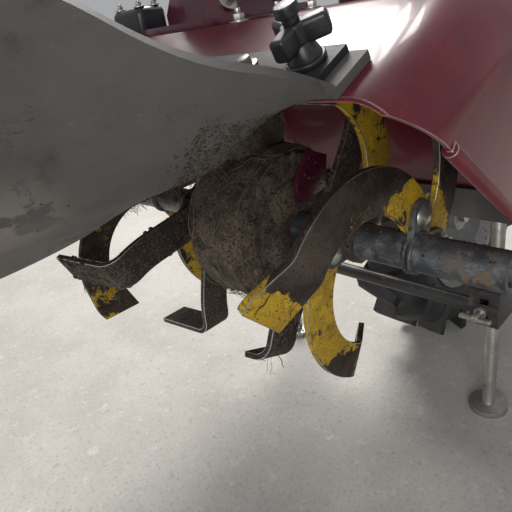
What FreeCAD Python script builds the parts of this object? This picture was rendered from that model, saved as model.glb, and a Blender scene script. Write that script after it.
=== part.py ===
"""One-wheel walk-behind rotary tiller, in millimetres.

The machine stands on its single driven wheel and the two legs of its rear stand, with the
tined rotor raised. X points to the machine's right, Y forward and Z up; the floor is Z = 0.
Everything is drawn from the wheel axle's line (Y = 0 there) and then moved by one shared
distance, so that the origin lies on the floor under the middle of the machine.
"""
import FreeCAD, Part
import math
import os
import Sketcher
from FreeCAD import Placement, Rotation, Vector

doc = FreeCAD.newDocument("tiller")
sheet = doc.addObject("Spreadsheet::Sheet", "Sizes")


class Measure:
    """A length or angle that knows its number and its formula in the sheet."""

    def __init__(self, number, formula):
        self.number = float(number)
        self.formula = formula

    def join(self, other, sign, number):
        return Measure(number, "(%s %s %s)" % (self.formula, sign, measure(other).formula))

    def __add__(self, other):
        return self.join(other, "+", self.number + measure(other).number)

    def __radd__(self, other):
        return measure(other) + self

    def __sub__(self, other):
        return self.join(other, "-", self.number - measure(other).number)

    def __rsub__(self, other):
        return measure(other) - self

    def __mul__(self, other):
        return self.join(other, "*", self.number * measure(other).number)

    def __rmul__(self, other):
        return measure(other) * self

    def __truediv__(self, other):
        return self.join(other, "/", self.number / measure(other).number)

    def __neg__(self):
        return Measure(-self.number, "(0 - %s)" % self.formula)

    def __float__(self):
        return self.number


def measure(value):
    """Turns a plain number into a Measure and leaves a Measure alone."""
    if isinstance(value, Measure):
        return value
    return Measure(value, "%.6f" % value)


def sine(angle):
    return Measure(math.sin(math.radians(float(angle))), "sin(%s * 1deg)" % measure(angle).formula)


def cosine(angle):
    return Measure(math.cos(math.radians(float(angle))), "cos(%s * 1deg)" % measure(angle).formula)


class Namespace:
    """Holds the named sizes."""


size = Namespace()

# name of the size, its value in mm or degrees
SIZES = (
    ("wheel_radius", 190), ("tyre_width", 92), ("wheel_offset", 20), ("tyre_shoulder", 20),
    ("lug_height", 14), ("lug_thick", 16), ("lug_count", 14), ("lug_sweep", 35), ("lug_root", 34),
    ("rim_radius", 104), ("rim_width", 70), ("rim_sheet", 3), ("rim_lip", 12), ("rim_well", 12),
    ("wheel_bolt_ring", 46), ("wheel_bolt", 7), ("rim_hole_ring", 70), ("rim_hole", 11),
    ("axle_radius", 12.5), ("hub_radius", 26), ("hub_left", 30), ("hub_right", 26),
    ("axle_gap", 0.05), ("axle_tip", 8),
    ("rotor_behind", 378), ("rotor_height", 325),
    ("tube_radius", 16), ("tube_start", 40), ("rotor_half", 252), ("shaft_radius", 11),
    ("socket_depth", 40),
    ("dome_radius", 80), ("dome_width", 58), ("dome_step", 9), ("dome_cap", 46), ("dome_right", 43), ("tube_start_right", 54),
    ("column_width", 46), ("column_depth", 62), ("column_lift", 6),
    ("cover_ring", 68), ("cover_bolt", 4),
    ("tine_bar", 36), ("tine_thick", 6), ("tine_lean", 50), ("tine_straight", 6),
    ("tine_bend", 86), ("tine_turn", 98), ("tine_edge", 4),
    ("tip_fold", 32), ("tip_bend", 12), ("tip_length", 44), ("tip_flare", 16), ("tip_corner", 26),
    ("arm_lean", 18), ("arm_straight", 70), ("arm_bend", 120), ("arm_turn", 14),
    ("foot_fold", 82), ("foot_bend", 16), ("foot_length", 78), ("stub_length", 12), ("stub_straight", 52),
    ("ear_thick", 5), ("ear_reach", 46), ("ear_bolt", 5), ("ear_place", 30), ("ear_round", 14),
    ("bolt_cup", 10), ("bolt_cup_high", 5), ("bolt_nut", 8.5), ("bolt_nut_high", 8),
    ("hood_half", 262), ("hood_top", 190), ("hood_front", 184), ("hood_sheet", 2.5),
    ("hood_back", 150), ("hood_slope", 72), ("hood_lip", 156), ("hood_foot", -28),
    ("hood_shoulder", 34), ("hood_nose", 80), ("hood_roll", 4), ("hood_side", 40),
    ("bracket_thick", 5),
    ("flap_thick", 5), ("flap_left", 238), ("flap_right", 225), ("flap_length", 220),
    ("flap_overlap", 2),
    ("strip_deep", 30), ("strip_thick", 4), ("strip_half", 215),
    ("knob_side", 196), ("knob_stem", 5), ("knob_base", 13), ("knob_wing", 26), ("knob_cap", 12),
    ("box_behind", 67), ("box_wide", 44), ("box_deep", 30), ("box_tall", 24),
    ("case_thick", 46), ("case_gap", 8), ("case_base", 404), ("case_rise", 54), ("case_back", 112),
    ("case_front", 60), ("case_right", 66), ("leg_radius", 52), ("leg_flare", 8), ("case_round", 36),
    ("drive_radius", 36), ("drive_height", 572), ("drive_flange", 50), ("flange_thick", 9),
    ("head_width", 70), ("head_rise", 68), ("head_waist", 9), ("head_depth", 41),
    ("bed_thick", 6), ("bed_half", 95), ("bed_front", 330), ("bed_flange", 34), ("bed_lip", 60),
    ("bumper_reach", 400), ("bumper_radius", 11), ("bumper_half", 84), ("bumper_rise", 180),
    ("bumper_drop", 14), ("bumper_bend", 32),
    ("stand_behind", 206), ("stand_bar", 172), ("stand_leg", 180), ("stand_half", 184),
    ("bar_radius", 9), ("guide_wide", 34), ("guide_tall", 46), ("leg_rod", 8), ("stand_lift", 120),
    ("foot_radius", 24), ("foot_thick", 8), ("slot_wide", 10), ("slot_tall", 26),
    ("engine_ahead", 168), ("fin_lean", 24), ("crank_rise", 78), ("seat_rise", 96), ("seat_run", 120),
    ("fin_count", 8), ("fin_pitch", 11), ("fin_thick", 4), ("fin_half", 56), ("barrel", 38),
    ("recoil_radius", 96), ("recoil_reach", 128), ("recoil_slots", 12),
    ("tank_half", 105), ("tank_lift", 22), ("tank_tall", 108), ("tank_back", 20), ("tank_front", 170),
    ("cap_radius", 30), ("cap_tall", 22),
    ("silencer_long", 60), ("silencer_tall", 80), ("silencer_wide", 120), ("silencer_round", 16),
    ("hitch_side", 18), ("hitch_drop", 28), ("hitch_bore", 8), ("hitch_depth", 40),
    ("handle_reach", 1000), ("handle_rise", 358), ("handle_radius", 12.5),
    ("handle_half", 260), ("handle_bend", 34), ("grip_radius", 16), ("grip_length", 120),
    ("pivot_behind", 168), ("pivot_rise", 96), ("pivot_half", 62), ("clamp_length", 64),
    ("clamp_wall", 24), ("arm_behind", 420), ("arm_rise", 218), ("arm_half", 120),
    ("lever_radius", 5), ("knob_radius", 16),
)
for number, (name, value) in enumerate(SIZES, start=1):
    sheet.set("A%d" % number, name)
    sheet.set("B%d" % number, str(value))
    sheet.setAlias("B%d" % number, name)
    setattr(size, name, Measure(value, "Sizes." + name))
doc.recompute()

shift = (size.handle_reach - size.bumper_reach) / 2
rotor_y = -size.rotor_behind
rotor_z = size.rotor_height
case_top = size.drive_height + size.case_rise
nodes = []


def bind(thing, prop, value):
    thing.setExpression(prop, measure(value).formula)


def node(label, thing, place=None):
    """Names a finished piece and moves it by the machine's shared distance along Y."""
    thing.Label = label
    start = place or (0, 0, 0)
    bind(thing, "Placement.Base.y", measure(start[1]) + shift)
    nodes.append(thing)
    return thing


def plane(body, role):
    return [item for item in body.Origin.OriginFeatures if item.Role == role][0]


def draw(sketch, outline):
    """Adds a closed outline: rows of (x, y), or (x, y, r) for an arc that ends there.

    An arc's r is positive where it turns left and negative where it turns right.
    """
    rows = [tuple(measure(item) for item in row) for row in outline]
    spots = [(row[0].number, row[1].number) for row in rows]
    first = sketch.GeometryCount
    for index, row in enumerate(rows):
        start, end = spots[index - 1], spots[index]
        if len(row) == 2:
            sketch.addGeometry(Part.LineSegment(Vector(*start, 0), Vector(*end, 0)), False)
            continue
        radius = row[2].number
        across = (end[0] - start[0], end[1] - start[1])
        chord = math.hypot(*across)
        lift = math.sqrt(max(radius ** 2 - chord ** 2 / 4, 0)) * (1 if radius > 0 else -1)
        centre = ((start[0] + end[0]) / 2 - across[1] / chord * lift,
                  (start[1] + end[1]) / 2 + across[0] / chord * lift)
        turn = [math.atan2(spot[1] - centre[1], spot[0] - centre[0]) for spot in (start, end)]
        if radius < 0:
            turn.reverse()
        circle = Part.Circle(Vector(*centre, 0), Vector(0, 0, 1), abs(radius))
        sketch.addGeometry(Part.ArcOfCircle(circle, *turn), False)
    ends = [(1, 2) if len(row) == 3 and row[2].number < 0 else (2, 1) for row in rows]
    for index, row in enumerate(rows):
        after = (index + 1) % len(rows)
        sketch.addConstraint(Sketcher.Constraint(
            "Coincident", first + index, ends[index][0], first + after, ends[after][1]))
        for kind, value in (("DistanceX", row[0]), ("DistanceY", row[1])):
            spot = sketch.addConstraint(Sketcher.Constraint(
                kind, -1, 1, first + index, ends[index][0], value.number))
            sketch.setExpression("Constraints[%d]" % spot, value.formula)
        if len(row) == 3:
            radius = row[2] if row[2].number > 0 else -row[2]
            spot = sketch.addConstraint(Sketcher.Constraint("Radius", first + index, radius.number))
            sketch.setExpression("Constraints[%d]" % spot, radius.formula)


def draw_circle(sketch, centre, radius):
    first = sketch.GeometryCount
    spot = Vector(float(measure(centre[0])), float(measure(centre[1])), 0)
    sketch.addGeometry(Part.Circle(spot, Vector(0, 0, 1), float(measure(radius))), False)
    for kind, value in (("DistanceX", centre[0]), ("DistanceY", centre[1])):
        row = sketch.addConstraint(Sketcher.Constraint(
            kind, -1, 1, first, 3, measure(value).number))
        sketch.setExpression("Constraints[%d]" % row, measure(value).formula)
    row = sketch.addConstraint(Sketcher.Constraint("Radius", first, measure(radius).number))
    sketch.setExpression("Constraints[%d]" % row, measure(radius).formula)


def new_sketch(body, role, offset=0):
    sketch = body.newObject("Sketcher::SketchObject", "outline")
    sketch.AttachmentSupport = [(plane(body, role), "")]
    sketch.MapMode = "FlatFace"
    bind(sketch, ".AttachmentOffset.Base.z", offset)
    return sketch


def plate(name, outline, across, holes=(), role="YZ_Plane"):
    """A flat piece: its outline in the YZ plane, and its two faces' places along X."""
    body = doc.addObject("PartDesign::Body", name)
    sketch = new_sketch(body, role, across[0])
    draw(sketch, outline)
    for centre, radius in holes:
        draw_circle(sketch, centre, radius)
    pad = body.newObject("PartDesign::Pad", "thickness")
    pad.Profile = sketch
    bind(pad, "Length", measure(across[1]) - across[0])
    return body


def turned(name, outline):
    """A turned piece: half its section as rows of (place along X, radius), spun about X."""
    body = doc.addObject("PartDesign::Body", name)
    sketch = new_sketch(body, "XY_Plane")
    draw(sketch, outline)
    spin = body.newObject("PartDesign::Revolution", "turning")
    spin.Profile = sketch
    spin.ReferenceAxis = (sketch, ["H_Axis"])
    spin.Angle = 360
    return body


def put(thing, y=0, z=0, x=0):
    """Places a piece by its own origin."""
    for axis, value in (("x", x), ("y", y), ("z", z)):
        bind(thing, "Placement.Base." + axis, value)
    return thing


TURNS = {"X": Rotation(Vector(0, 1, 0), 90), "Y": Rotation(Vector(1, 0, 0), -90), "Z": Rotation()}


def rod(name, radius, start, length, along="X"):
    """A round bar from a point along X, Y or Z."""
    bar = doc.addObject("Part::Cylinder", name)
    bind(bar, "Radius", radius)
    bind(bar, "Height", length)
    bar.Placement = Placement(Vector(), TURNS[along])
    return put(bar, start[1], start[2], start[0])


def block(name, low, high):
    """A box between two corners."""
    box = doc.addObject("Part::Box", name)
    for prop, index in (("Length", 0), ("Width", 1), ("Height", 2)):
        bind(box, prop, measure(high[index]) - low[index])
    return put(box, low[1], low[2], low[0])


def fuse(name, things):
    joined = doc.addObject("Part::MultiFuse", name)
    joined.Shapes = list(things)
    joined.Refine = False
    return joined


def cut(name, thing, tools):
    tools = list(tools)
    tool = tools[0] if len(tools) == 1 else fuse(name + "_tools", tools)
    result = doc.addObject("Part::Cut", name)
    result.Base = thing
    result.Tool = tool
    return result


def spot_of(*place):
    """A point from three measures."""
    return Vector(*(float(measure(item)) for item in place))


def bent_tube(route, radius, bend):
    """A round tube along straight runs joined by tangent arcs."""
    spots = [spot_of(*spot) for spot in route]
    edges = []
    start = spots[0]
    for before, corner, after in zip(spots, spots[1:], spots[2:]):
        into = (corner - before).normalize()
        out = (after - corner).normalize()
        turn = into.getAngle(out)
        back = float(measure(bend)) * math.tan(turn / 2)
        first, last = corner - into * back, corner + out * back
        middle_way = (out - into).normalize()
        reach = float(measure(bend)) * (1 / math.cos(turn / 2) - 1)
        edges.append(Part.LineSegment(start, first).toShape())
        edges.append(Part.Arc(first, corner + middle_way * reach, last).toShape())
        start = last
    edges.append(Part.LineSegment(start, spots[-1]).toShape())
    path = Part.Wire(edges)
    ring = Part.Wire([Part.Circle(spots[0], spots[1] - spots[0],
                                  float(measure(radius))).toShape()])
    return path.makePipeShell([ring], True, False)


def shaped(name, shape):
    """A sub-part whose form Part's own functions make from the sheet's sizes."""
    feature = doc.addObject("Part::Feature", name)
    feature.Shape = shape
    return feature


def polygon_solid(points, along):
    """A prism from a closed outline of points."""
    return Part.Face(Part.makePolygon(points + points[:1])).extrude(along)


# Tyre: a carcass turned about the axle, with swept bars in two staggered rows
wheel_mid = size.wheel_offset
tyre_half = size.tyre_width / 2
rim_half = size.rim_width / 2
carcass = size.wheel_radius - size.lug_height
bead_top = size.rim_radius + size.rim_lip + 2
side_top = carcass - size.tyre_shoulder
side_low = bead_top + size.tyre_shoulder
tyre_body = turned("carcass", (
    (wheel_mid - rim_half, size.rim_radius), (wheel_mid + rim_half, size.rim_radius),
    (wheel_mid + rim_half, bead_top), (wheel_mid + tyre_half, side_low),
    (wheel_mid + tyre_half, side_top),
    (wheel_mid + tyre_half - size.tyre_shoulder, carcass, size.tyre_shoulder * 1.5),
    (wheel_mid - tyre_half + size.tyre_shoulder, carcass),
    (wheel_mid - tyre_half, side_top, size.tyre_shoulder * 1.5),
    (wheel_mid - tyre_half, side_low), (wheel_mid - rim_half, bead_top),
))
put(tyre_body, 0, size.wheel_radius)


def lug(side):
    """One tread bar from the tread's middle to the shoulder, swept back."""
    reach = float(tyre_half) + 2
    top = float(size.wheel_radius)
    half_thick = float(size.lug_thick) / 2
    overlap = float(size.lug_thick) / 3
    sweep = reach * math.tan(math.radians(float(size.lug_sweep)))
    points = [Vector(-overlap, -half_thick, 0), Vector(reach, sweep - half_thick, 0),
              Vector(reach, sweep + half_thick, 0), Vector(-overlap, half_thick, 0)]
    bar = polygon_solid(points, Vector(0, 0, top * 1.1))
    ring = Part.makeCylinder(top, 2 * reach, Vector(-reach, 0, 0), Vector(1, 0, 0))
    core = Part.makeCylinder(float(carcass - size.lug_root), 2 * reach, Vector(-reach, 0, 0),
                             Vector(1, 0, 0))
    bar = bar.common(ring).cut(core)
    return bar if side > 0 else bar.mirror(Vector(), Vector(1, 0, 0))


def tread():
    count = int(float(size.lug_count))
    lugs = []
    for index in range(count):
        for side, phase in ((1, 0), (-1, 0.5)):
            bar = lug(side)
            bar.rotate(Vector(), Vector(1, 0, 0), 180 + (index + phase) * 360 / count)
            lugs.append(bar)
    whole = lugs[0].multiFuse(lugs[1:])
    whole.translate(spot_of(wheel_mid, 0, size.wheel_radius))
    return whole


node("tyre", fuse("tyre", (tyre_body, shaped("tread", tread()))))

# Pressed wheel: a rim with rolled lips, a thin dished disc with holes, and a long hub
well = size.rim_radius - size.rim_well
skin = size.rim_sheet
bead_gap = 0.2
lip_top = size.rim_radius + size.rim_lip
rim_body = turned("rim_body", (
    (wheel_mid - rim_half - skin, lip_top), (wheel_mid - rim_half - skin, size.rim_radius - skin),
    (wheel_mid - rim_half + size.rim_well, well - skin),
    (wheel_mid - skin, well - skin), (wheel_mid - skin * 3, size.hub_radius),
    (wheel_mid - size.hub_left, size.hub_radius), (wheel_mid - size.hub_left, size.axle_radius),
    (wheel_mid + size.hub_right, size.axle_radius), (wheel_mid + size.hub_right, size.hub_radius),
    (wheel_mid - skin * 2, size.hub_radius), (wheel_mid, well - skin),
    (wheel_mid + rim_half - size.rim_well, well - skin),
    (wheel_mid + rim_half + skin, size.rim_radius - skin), (wheel_mid + rim_half + skin, lip_top),
    (wheel_mid + rim_half + bead_gap, lip_top),
    (wheel_mid + rim_half + bead_gap, size.rim_radius - bead_gap),
    (wheel_mid + rim_half - size.rim_well, well), (wheel_mid - rim_half + size.rim_well, well),
    (wheel_mid - rim_half - bead_gap, size.rim_radius - bead_gap),
    (wheel_mid - rim_half - bead_gap, lip_top),
))
put(rim_body, 0, size.wheel_radius)
rim_tools = []
for index in range(5):
    angle = measure(index * 72)
    rim_tools.append(rod("rim_hole", size.rim_hole, (
        wheel_mid - rim_half, size.rim_hole_ring * cosine(angle),
        size.wheel_radius + size.rim_hole_ring * sine(angle)), rim_half * 2))
    rim_tools.append(rod("wheel_bolt_hole", size.wheel_bolt, (
        wheel_mid - size.hub_left + 2, size.wheel_bolt_ring * cosine(angle + 36),
        size.wheel_radius + size.wheel_bolt_ring * sine(angle + 36)), size.hub_left * 2))
node("wheel_rim", cut("wheel_rim", rim_body, rim_tools))

case_right = wheel_mid - tyre_half - size.case_gap
case_left = case_right - size.case_thick
axle_end = case_left + size.axle_tip * 2
axle_far = wheel_mid + size.hub_right + size.axle_tip
node("axle_shaft", rod("axle_shaft", size.axle_radius, (axle_end, 0, size.wheel_radius),
                       axle_far - axle_end))


def rounded(name, thing, radius, wanted):
    """Rounds the edges of a piece that a test picks out."""
    doc.recompute()
    rounding = doc.addObject("Part::Fillet", name)
    rounding.Base = thing
    value = float(measure(radius))
    rounding.Edges = [(number, value, value) for number, edge in enumerate(thing.Shape.Edges, 1)
                      if wanted(edge)]
    return rounding


def in_end_face(edge, places, clear=0.01):
    """True for an edge that lies in one of the planes X = place."""
    return any(all(abs(vertex.Point.x - float(measure(place))) < clear for vertex in edge.Vertexes)
               for place in places)


# Cast drive case: a leg down to the axle beside the tyre, and the gearbox above the tyre
case_base = size.case_base
leg_top = case_base + 20
leg_half = size.leg_radius + size.leg_flare
leg = plate("leg", (
    (size.leg_radius, size.wheel_radius, size.leg_radius), (leg_half, leg_top),
    (-leg_half, leg_top), (-size.leg_radius, size.wheel_radius),
    (0, size.wheel_radius - size.leg_radius, size.leg_radius),
), (case_left, case_right))
gearbox = plate("gearbox", (
    (size.case_front, case_base), (size.case_front, case_top - size.case_round),
    (size.case_front - size.case_round, case_top, size.case_round),
    (-size.case_back + size.case_round, case_top),
    (-size.case_back, case_top - size.case_round, size.case_round),
    (-size.case_back, case_base + leg_half), (-size.leg_radius, case_base),
), (case_left, size.case_right))
cover_stand = 5
cover_margin = 6
axle_boss = rod("axle_boss", size.hub_radius + cover_margin, (case_right, 0, size.wheel_radius),
                size.case_gap - 2)
axle_cover = rod("axle_cover", size.leg_radius - cover_margin * 2,
                 (case_left - cover_stand, 0, size.wheel_radius), cover_stand + 1)
top_cover = rod("top_cover", size.case_front - cover_margin,
                (case_left - cover_stand, -18, case_top - size.case_front - 8), cover_stand + 1)
axle_bore = rod("axle_bore", size.axle_radius + size.axle_gap,
                (axle_end - 1, 0, size.wheel_radius), size.case_thick)
leg_soft = rounded("leg_soft", leg, 8, lambda edge: in_end_face(edge, (case_left,)))
box_soft = rounded("box_soft", gearbox, 10, lambda edge: in_end_face(
    edge, (case_left, size.case_right)) and edge.CenterOfMass.z > float(case_base) + 70)
drive_casting = fuse("drive_casting", (leg_soft, box_soft, axle_boss, axle_cover, top_cover))
node("drive_case", cut("drive_case", drive_casting, [axle_bore]))

# Drive tube from the gearbox back to the column over the rotor
tube_front = -size.case_back
column_depth = size.column_depth / 2
head_front = rotor_y + size.head_depth
node("drive_tube", fuse("drive_tube", (
    rod("drive_run", size.drive_radius, (0, head_front, size.drive_height), tube_front - head_front, "Y"),
    rod("drive_flange_front", size.drive_flange, (0, tube_front - size.flange_thick, size.drive_height),
        size.flange_thick, "Y"),
    rod("drive_flange_back", size.drive_flange - 6, (0, head_front, size.drive_height),
        size.flange_thick, "Y"),
)))

# Rotor gear case: a stepped disc at the shaft and a column up through the hood
dome_half = size.dome_width / 2
dome_right = size.dome_right
column_half = size.column_width / 2
hood_peak = rotor_z + size.hood_top
bearing_gap = 0.05
cap_reach = dome_half + size.dome_step
cap_right = dome_right + size.dome_step
dome = turned("dome", (
    (-cap_reach, size.dome_cap - 12), (-cap_reach + 6, size.dome_cap), (-dome_half, size.dome_cap),
    (-dome_half, size.dome_radius - size.dome_step),
    (-dome_half + size.dome_step, size.dome_radius, size.dome_step),
    (dome_right - size.dome_step, size.dome_radius),
    (dome_right, size.dome_radius - size.dome_step, size.dome_step), (dome_right, size.dome_cap),
    (cap_right - 6, size.dome_cap), (cap_right, size.dome_cap - 12),
    (cap_right, size.shaft_radius + bearing_gap), (-cap_reach, size.shaft_radius + bearing_gap),
))
put(dome, rotor_y, rotor_z)
column = block("column", (-column_half, rotor_y - column_depth, rotor_z + size.tube_radius * 3),
               (column_half, rotor_y + column_depth, hood_peak + size.column_lift))
column_soft = rounded("column_soft", column, 10, lambda edge: abs(
    edge.Vertexes[0].Point.z - edge.Vertexes[-1].Point.z) > 50)
dome_bolts = []
dome_bolt_count = 8
dome_bolt_ring = size.dome_radius - size.dome_step * 2
dome_bolt_high = 4
for index in range(dome_bolt_count):
    angle = measure((index + 0.5) * 360 / dome_bolt_count)
    dome_bolts.append(rod("dome_bolt", size.cover_bolt, (
        -dome_half - dome_bolt_high, rotor_y + dome_bolt_ring * cosine(angle),
        rotor_z + dome_bolt_ring * sine(angle)), dome_half + dome_right + dome_bolt_high * 2))
node("tine_case", fuse("tine_case", [dome, column_soft] + dome_bolts))

# Angled guard plate on the gear case's right face, which keeps straw off the seal
guard_side = cap_right + 0.1
guard = plate("case_guard", (
    (rotor_y + 8, rotor_z + 25), (rotor_y + 40, rotor_z + 28), (rotor_y + 46, rotor_z + 60),
    (rotor_y + 20, rotor_z + 72), (rotor_y - 2, rotor_z + 48), (rotor_y - 2, rotor_z + 26),
), (guard_side, guard_side + size.bracket_thick))
node("case_guard", guard)

# Head of the column: a waisted casting between the column and the drive tube, with a wide
# foot that clamps the hood
plate_reach = column_depth + size.hood_shoulder
plate_half = size.head_width / 2 + 4
plate_top = hood_peak + size.column_lift
foot_plate = block("foot_plate", (-plate_half, rotor_y - plate_reach, hood_peak),
                   (plate_half, rotor_y + plate_reach, plate_top))
plate_hole = block("plate_hole", (-column_half, rotor_y - column_depth, hood_peak - 1),
                   (column_half, rotor_y + column_depth, plate_top))
clamp_plate = cut("clamp_plate", foot_plate, [plate_hole])
head_half = size.head_width / 2
head_waist = head_half - size.head_waist
head_depth = size.head_depth
head_top = size.drive_height + size.head_rise
head_round = 20
head = doc.addObject("PartDesign::Body", "head_casting")
head_sketch = new_sketch(head, "XZ_Plane", -(rotor_y + head_depth))
draw(head_sketch, (
    (head_half, plate_top), (head_half, plate_top + 8), (head_waist, plate_top + 20),
    (head_half, plate_top + 46), (head_half, head_top - head_round),
    (head_half - head_round, head_top, head_round),
    (-head_half + head_round, head_top), (-head_half, head_top - head_round, head_round),
    (-head_half, plate_top + 46), (-head_waist, plate_top + 20), (-head_half, plate_top + 8),
    (-head_half, plate_top),
))
head_pad = head.newObject("PartDesign::Pad", "depth")
head_pad.Profile = head_sketch
bind(head_pad, "Length", head_depth * 2)
hitch_high = head_top - size.hitch_drop
hitch = rod("hitch_hole", size.hitch_bore, (size.hitch_side, rotor_y - head_depth - 1, hitch_high),
            size.hitch_depth + 1, "Y")
head_soft = rounded("head_soft", head, 6, lambda edge: edge.CenterOfMass.z > float(plate_top) + 24
                    and abs(edge.Vertexes[0].Point.y - edge.Vertexes[-1].Point.y) < 0.01
                    and abs(abs(edge.CenterOfMass.y - float(rotor_y)) - float(head_depth)) < 0.01
                    and edge.CenterOfMass.y < float(rotor_y))
node("column_head", cut("column_head", fuse("head_and_foot", (head_soft, clamp_plate)), [hitch]))

# Rotor shaft, held in the gear case; the outer tubes leave a socket at each end
shaft_half = size.rotor_half - size.socket_depth
rotor_shaft = rod("rotor_shaft", size.shaft_radius, (-shaft_half, rotor_y, rotor_z), shaft_half * 2)
node("rotor_shaft", rotor_shaft, (0, rotor_y, 0))

# Blades: name, side, place along X, angle of its bolt, kind, way that the tip bends along X
BLADES = (
    ("inner_right", 1, 80, 214, "stub", -1), ("inner_right", 1, 80, 34, "stub", -1),
    ("middle_right", 1, 112, 182, "hook", -1), ("middle_right", 1, 112, 2, "hook", -1),
    ("outer_right", 1, 174, 75, "hook", -1), ("outer_right", 1, 174, -9, "hook", -1),
    ("inner_left", -1, -62, 170, "arm", -1), ("inner_left", -1, -62, 236, "arm", -1),
    ("middle_left", -1, -112, 215, "hook", 1), ("middle_left", -1, -112, 35, "hook", 1),
    ("outer_left", -1, -174, 120, "hook", 1), ("outer_left", -1, -174, 300, "hook", 1),
)
KINDS = {
    "hook": (size.tine_lean, size.tine_straight, size.tine_bend, size.tine_turn,
             size.tip_fold, size.tip_bend, size.tip_length),
    "arm": (size.arm_lean, size.arm_straight, size.arm_bend, size.arm_turn,
            size.foot_fold, size.foot_bend, size.foot_length),
    "stub": (size.arm_lean, size.stub_straight, size.arm_bend, size.arm_turn,
             size.foot_fold, size.foot_bend, size.stub_length),
}


blade_gap = 0.2


def strip_band(base, along, across, fold, radius, thick, length, before):
    """A long strip that runs flat, bends sideways along X by an angle, and ends."""
    def on_fold(reach, turn):
        side = radius + thick - reach * math.cos(turn)
        return base + along * (reach * math.sin(turn)) + Vector(side, 0, 0)

    tip_way = along * (length * math.cos(fold)) + Vector(length * math.sin(fold), 0, 0)
    ends = [on_fold(reach, fold) + tip_way for reach in (radius + thick, radius)]
    step = Vector(thick, 0, 0)
    start = base - along * before
    edges = [
        Part.LineSegment(start, base).toShape(),
        Part.Arc(base, on_fold(radius + thick, fold / 2), on_fold(radius + thick, fold)).toShape(),
        Part.LineSegment(on_fold(radius + thick, fold), ends[0]).toShape(),
        Part.LineSegment(ends[0], ends[1]).toShape(),
        Part.LineSegment(ends[1], on_fold(radius, fold)).toShape(),
        Part.Arc(on_fold(radius, fold), on_fold(radius, fold / 2), base + step).toShape(),
        Part.LineSegment(base + step, start + step).toShape(),
        Part.LineSegment(start + step, start).toShape(),
    ]
    reach = before
    band = Part.Face(Part.Wire(edges)).extrude(across * (2 * reach))
    band.translate(across * -reach)
    return band


def blade(place, angle, kind, way):
    """A flat bar bolted by its root, curved back in its own plane and bent sideways at the tip."""
    lean, straight, bend, turn, fold, fold_radius, length = [float(item) for item in KINDS[kind]]
    half = float(size.tine_bar) / 2
    thick = float(size.tine_thick)
    turn, fold, lean = (math.radians(item) for item in (turn, fold, lean))
    inner, outer = bend - half, bend + half

    def spot(radius, here):
        return Vector(0, straight + radius * math.sin(here), bend - radius * math.cos(here))

    along = Vector(0, math.cos(turn), math.sin(turn))
    inward = Vector(0, -math.sin(turn), math.cos(turn))
    edges = [
        Part.Arc(Vector(0, 0, half), Vector(0, -half, 0), Vector(0, 0, -half)).toShape(),
        Part.LineSegment(Vector(0, 0, -half), spot(outer, 0)).toShape(),
        Part.Arc(spot(outer, 0), spot(outer, turn / 2), spot(outer, turn)).toShape(),
    ]
    out_end, in_end = spot(outer, turn), spot(inner, turn)
    if kind == "hook":
        corner = float(size.tip_corner)
        flare = float(size.tip_flare)
        reach = length * 1.3
        side_end = out_end + along * (reach - corner)
        round_mid = side_end + along * (corner * math.sin(math.pi / 4)) + inward * (
            corner * (1 - math.cos(math.pi / 4)))
        round_end = side_end + along * corner + inward * corner
        tip_in = in_end + along * reach + inward * flare
        edges += [
            Part.LineSegment(out_end, side_end).toShape(),
            Part.Arc(side_end, round_mid, round_end).toShape(),
            Part.LineSegment(round_end, tip_in).toShape(),
            Part.LineSegment(tip_in, in_end).toShape(),
        ]
    else:
        reach = length + fold_radius * 2
        edges += [
            Part.LineSegment(out_end, out_end + along * reach).toShape(),
            Part.LineSegment(out_end + along * reach, in_end + along * reach).toShape(),
            Part.LineSegment(in_end + along * reach, in_end).toShape(),
        ]
    edges += [
        Part.Arc(in_end, spot(inner, turn / 2), spot(inner, 0)).toShape(),
        Part.LineSegment(spot(inner, 0), Vector(0, 0, half)).toShape(),
    ]
    deep = (length + fold_radius) * 2
    hook = Part.Face(Part.Wire(edges)).extrude(Vector(deep, 0, 0))
    band = strip_band(spot(bend, turn), along, inward, fold, fold_radius, thick, length, bend * 4)
    piece = hook.common(band)
    hole = Part.makeCylinder(float(size.ear_bolt), thick * 4, Vector(-thick, 0, 0), Vector(1, 0, 0))
    piece = piece.cut(hole)
    if way < 0:
        piece = piece.mirror(Vector(), Vector(1, 0, 0))
    piece.rotate(Vector(), Vector(1, 0, 0), math.degrees(lean))
    piece.translate(Vector(0, float(size.ear_place), 0))
    piece.rotate(Vector(), Vector(1, 0, 0), angle)
    piece.translate(Vector(place, float(rotor_y), float(rotor_z)))
    seat = Part.makeCylinder(float(size.tube_radius) + blade_gap, thick * 4,
                             spot_of(place - thick * 2, rotor_y, rotor_z), Vector(1, 0, 0))
    return piece.cut(seat)


def on_rotor(shape, place, angle, outward):
    """Turns a piece drawn at angle 0 to its place; outward is the side of the blade it lies on."""
    if outward < 0:
        shape = shape.mirror(Vector(), Vector(1, 0, 0))
    shape.rotate(Vector(), Vector(1, 0, 0), angle)
    shape.translate(Vector(place, float(rotor_y), float(rotor_z)))
    return shape


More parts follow.
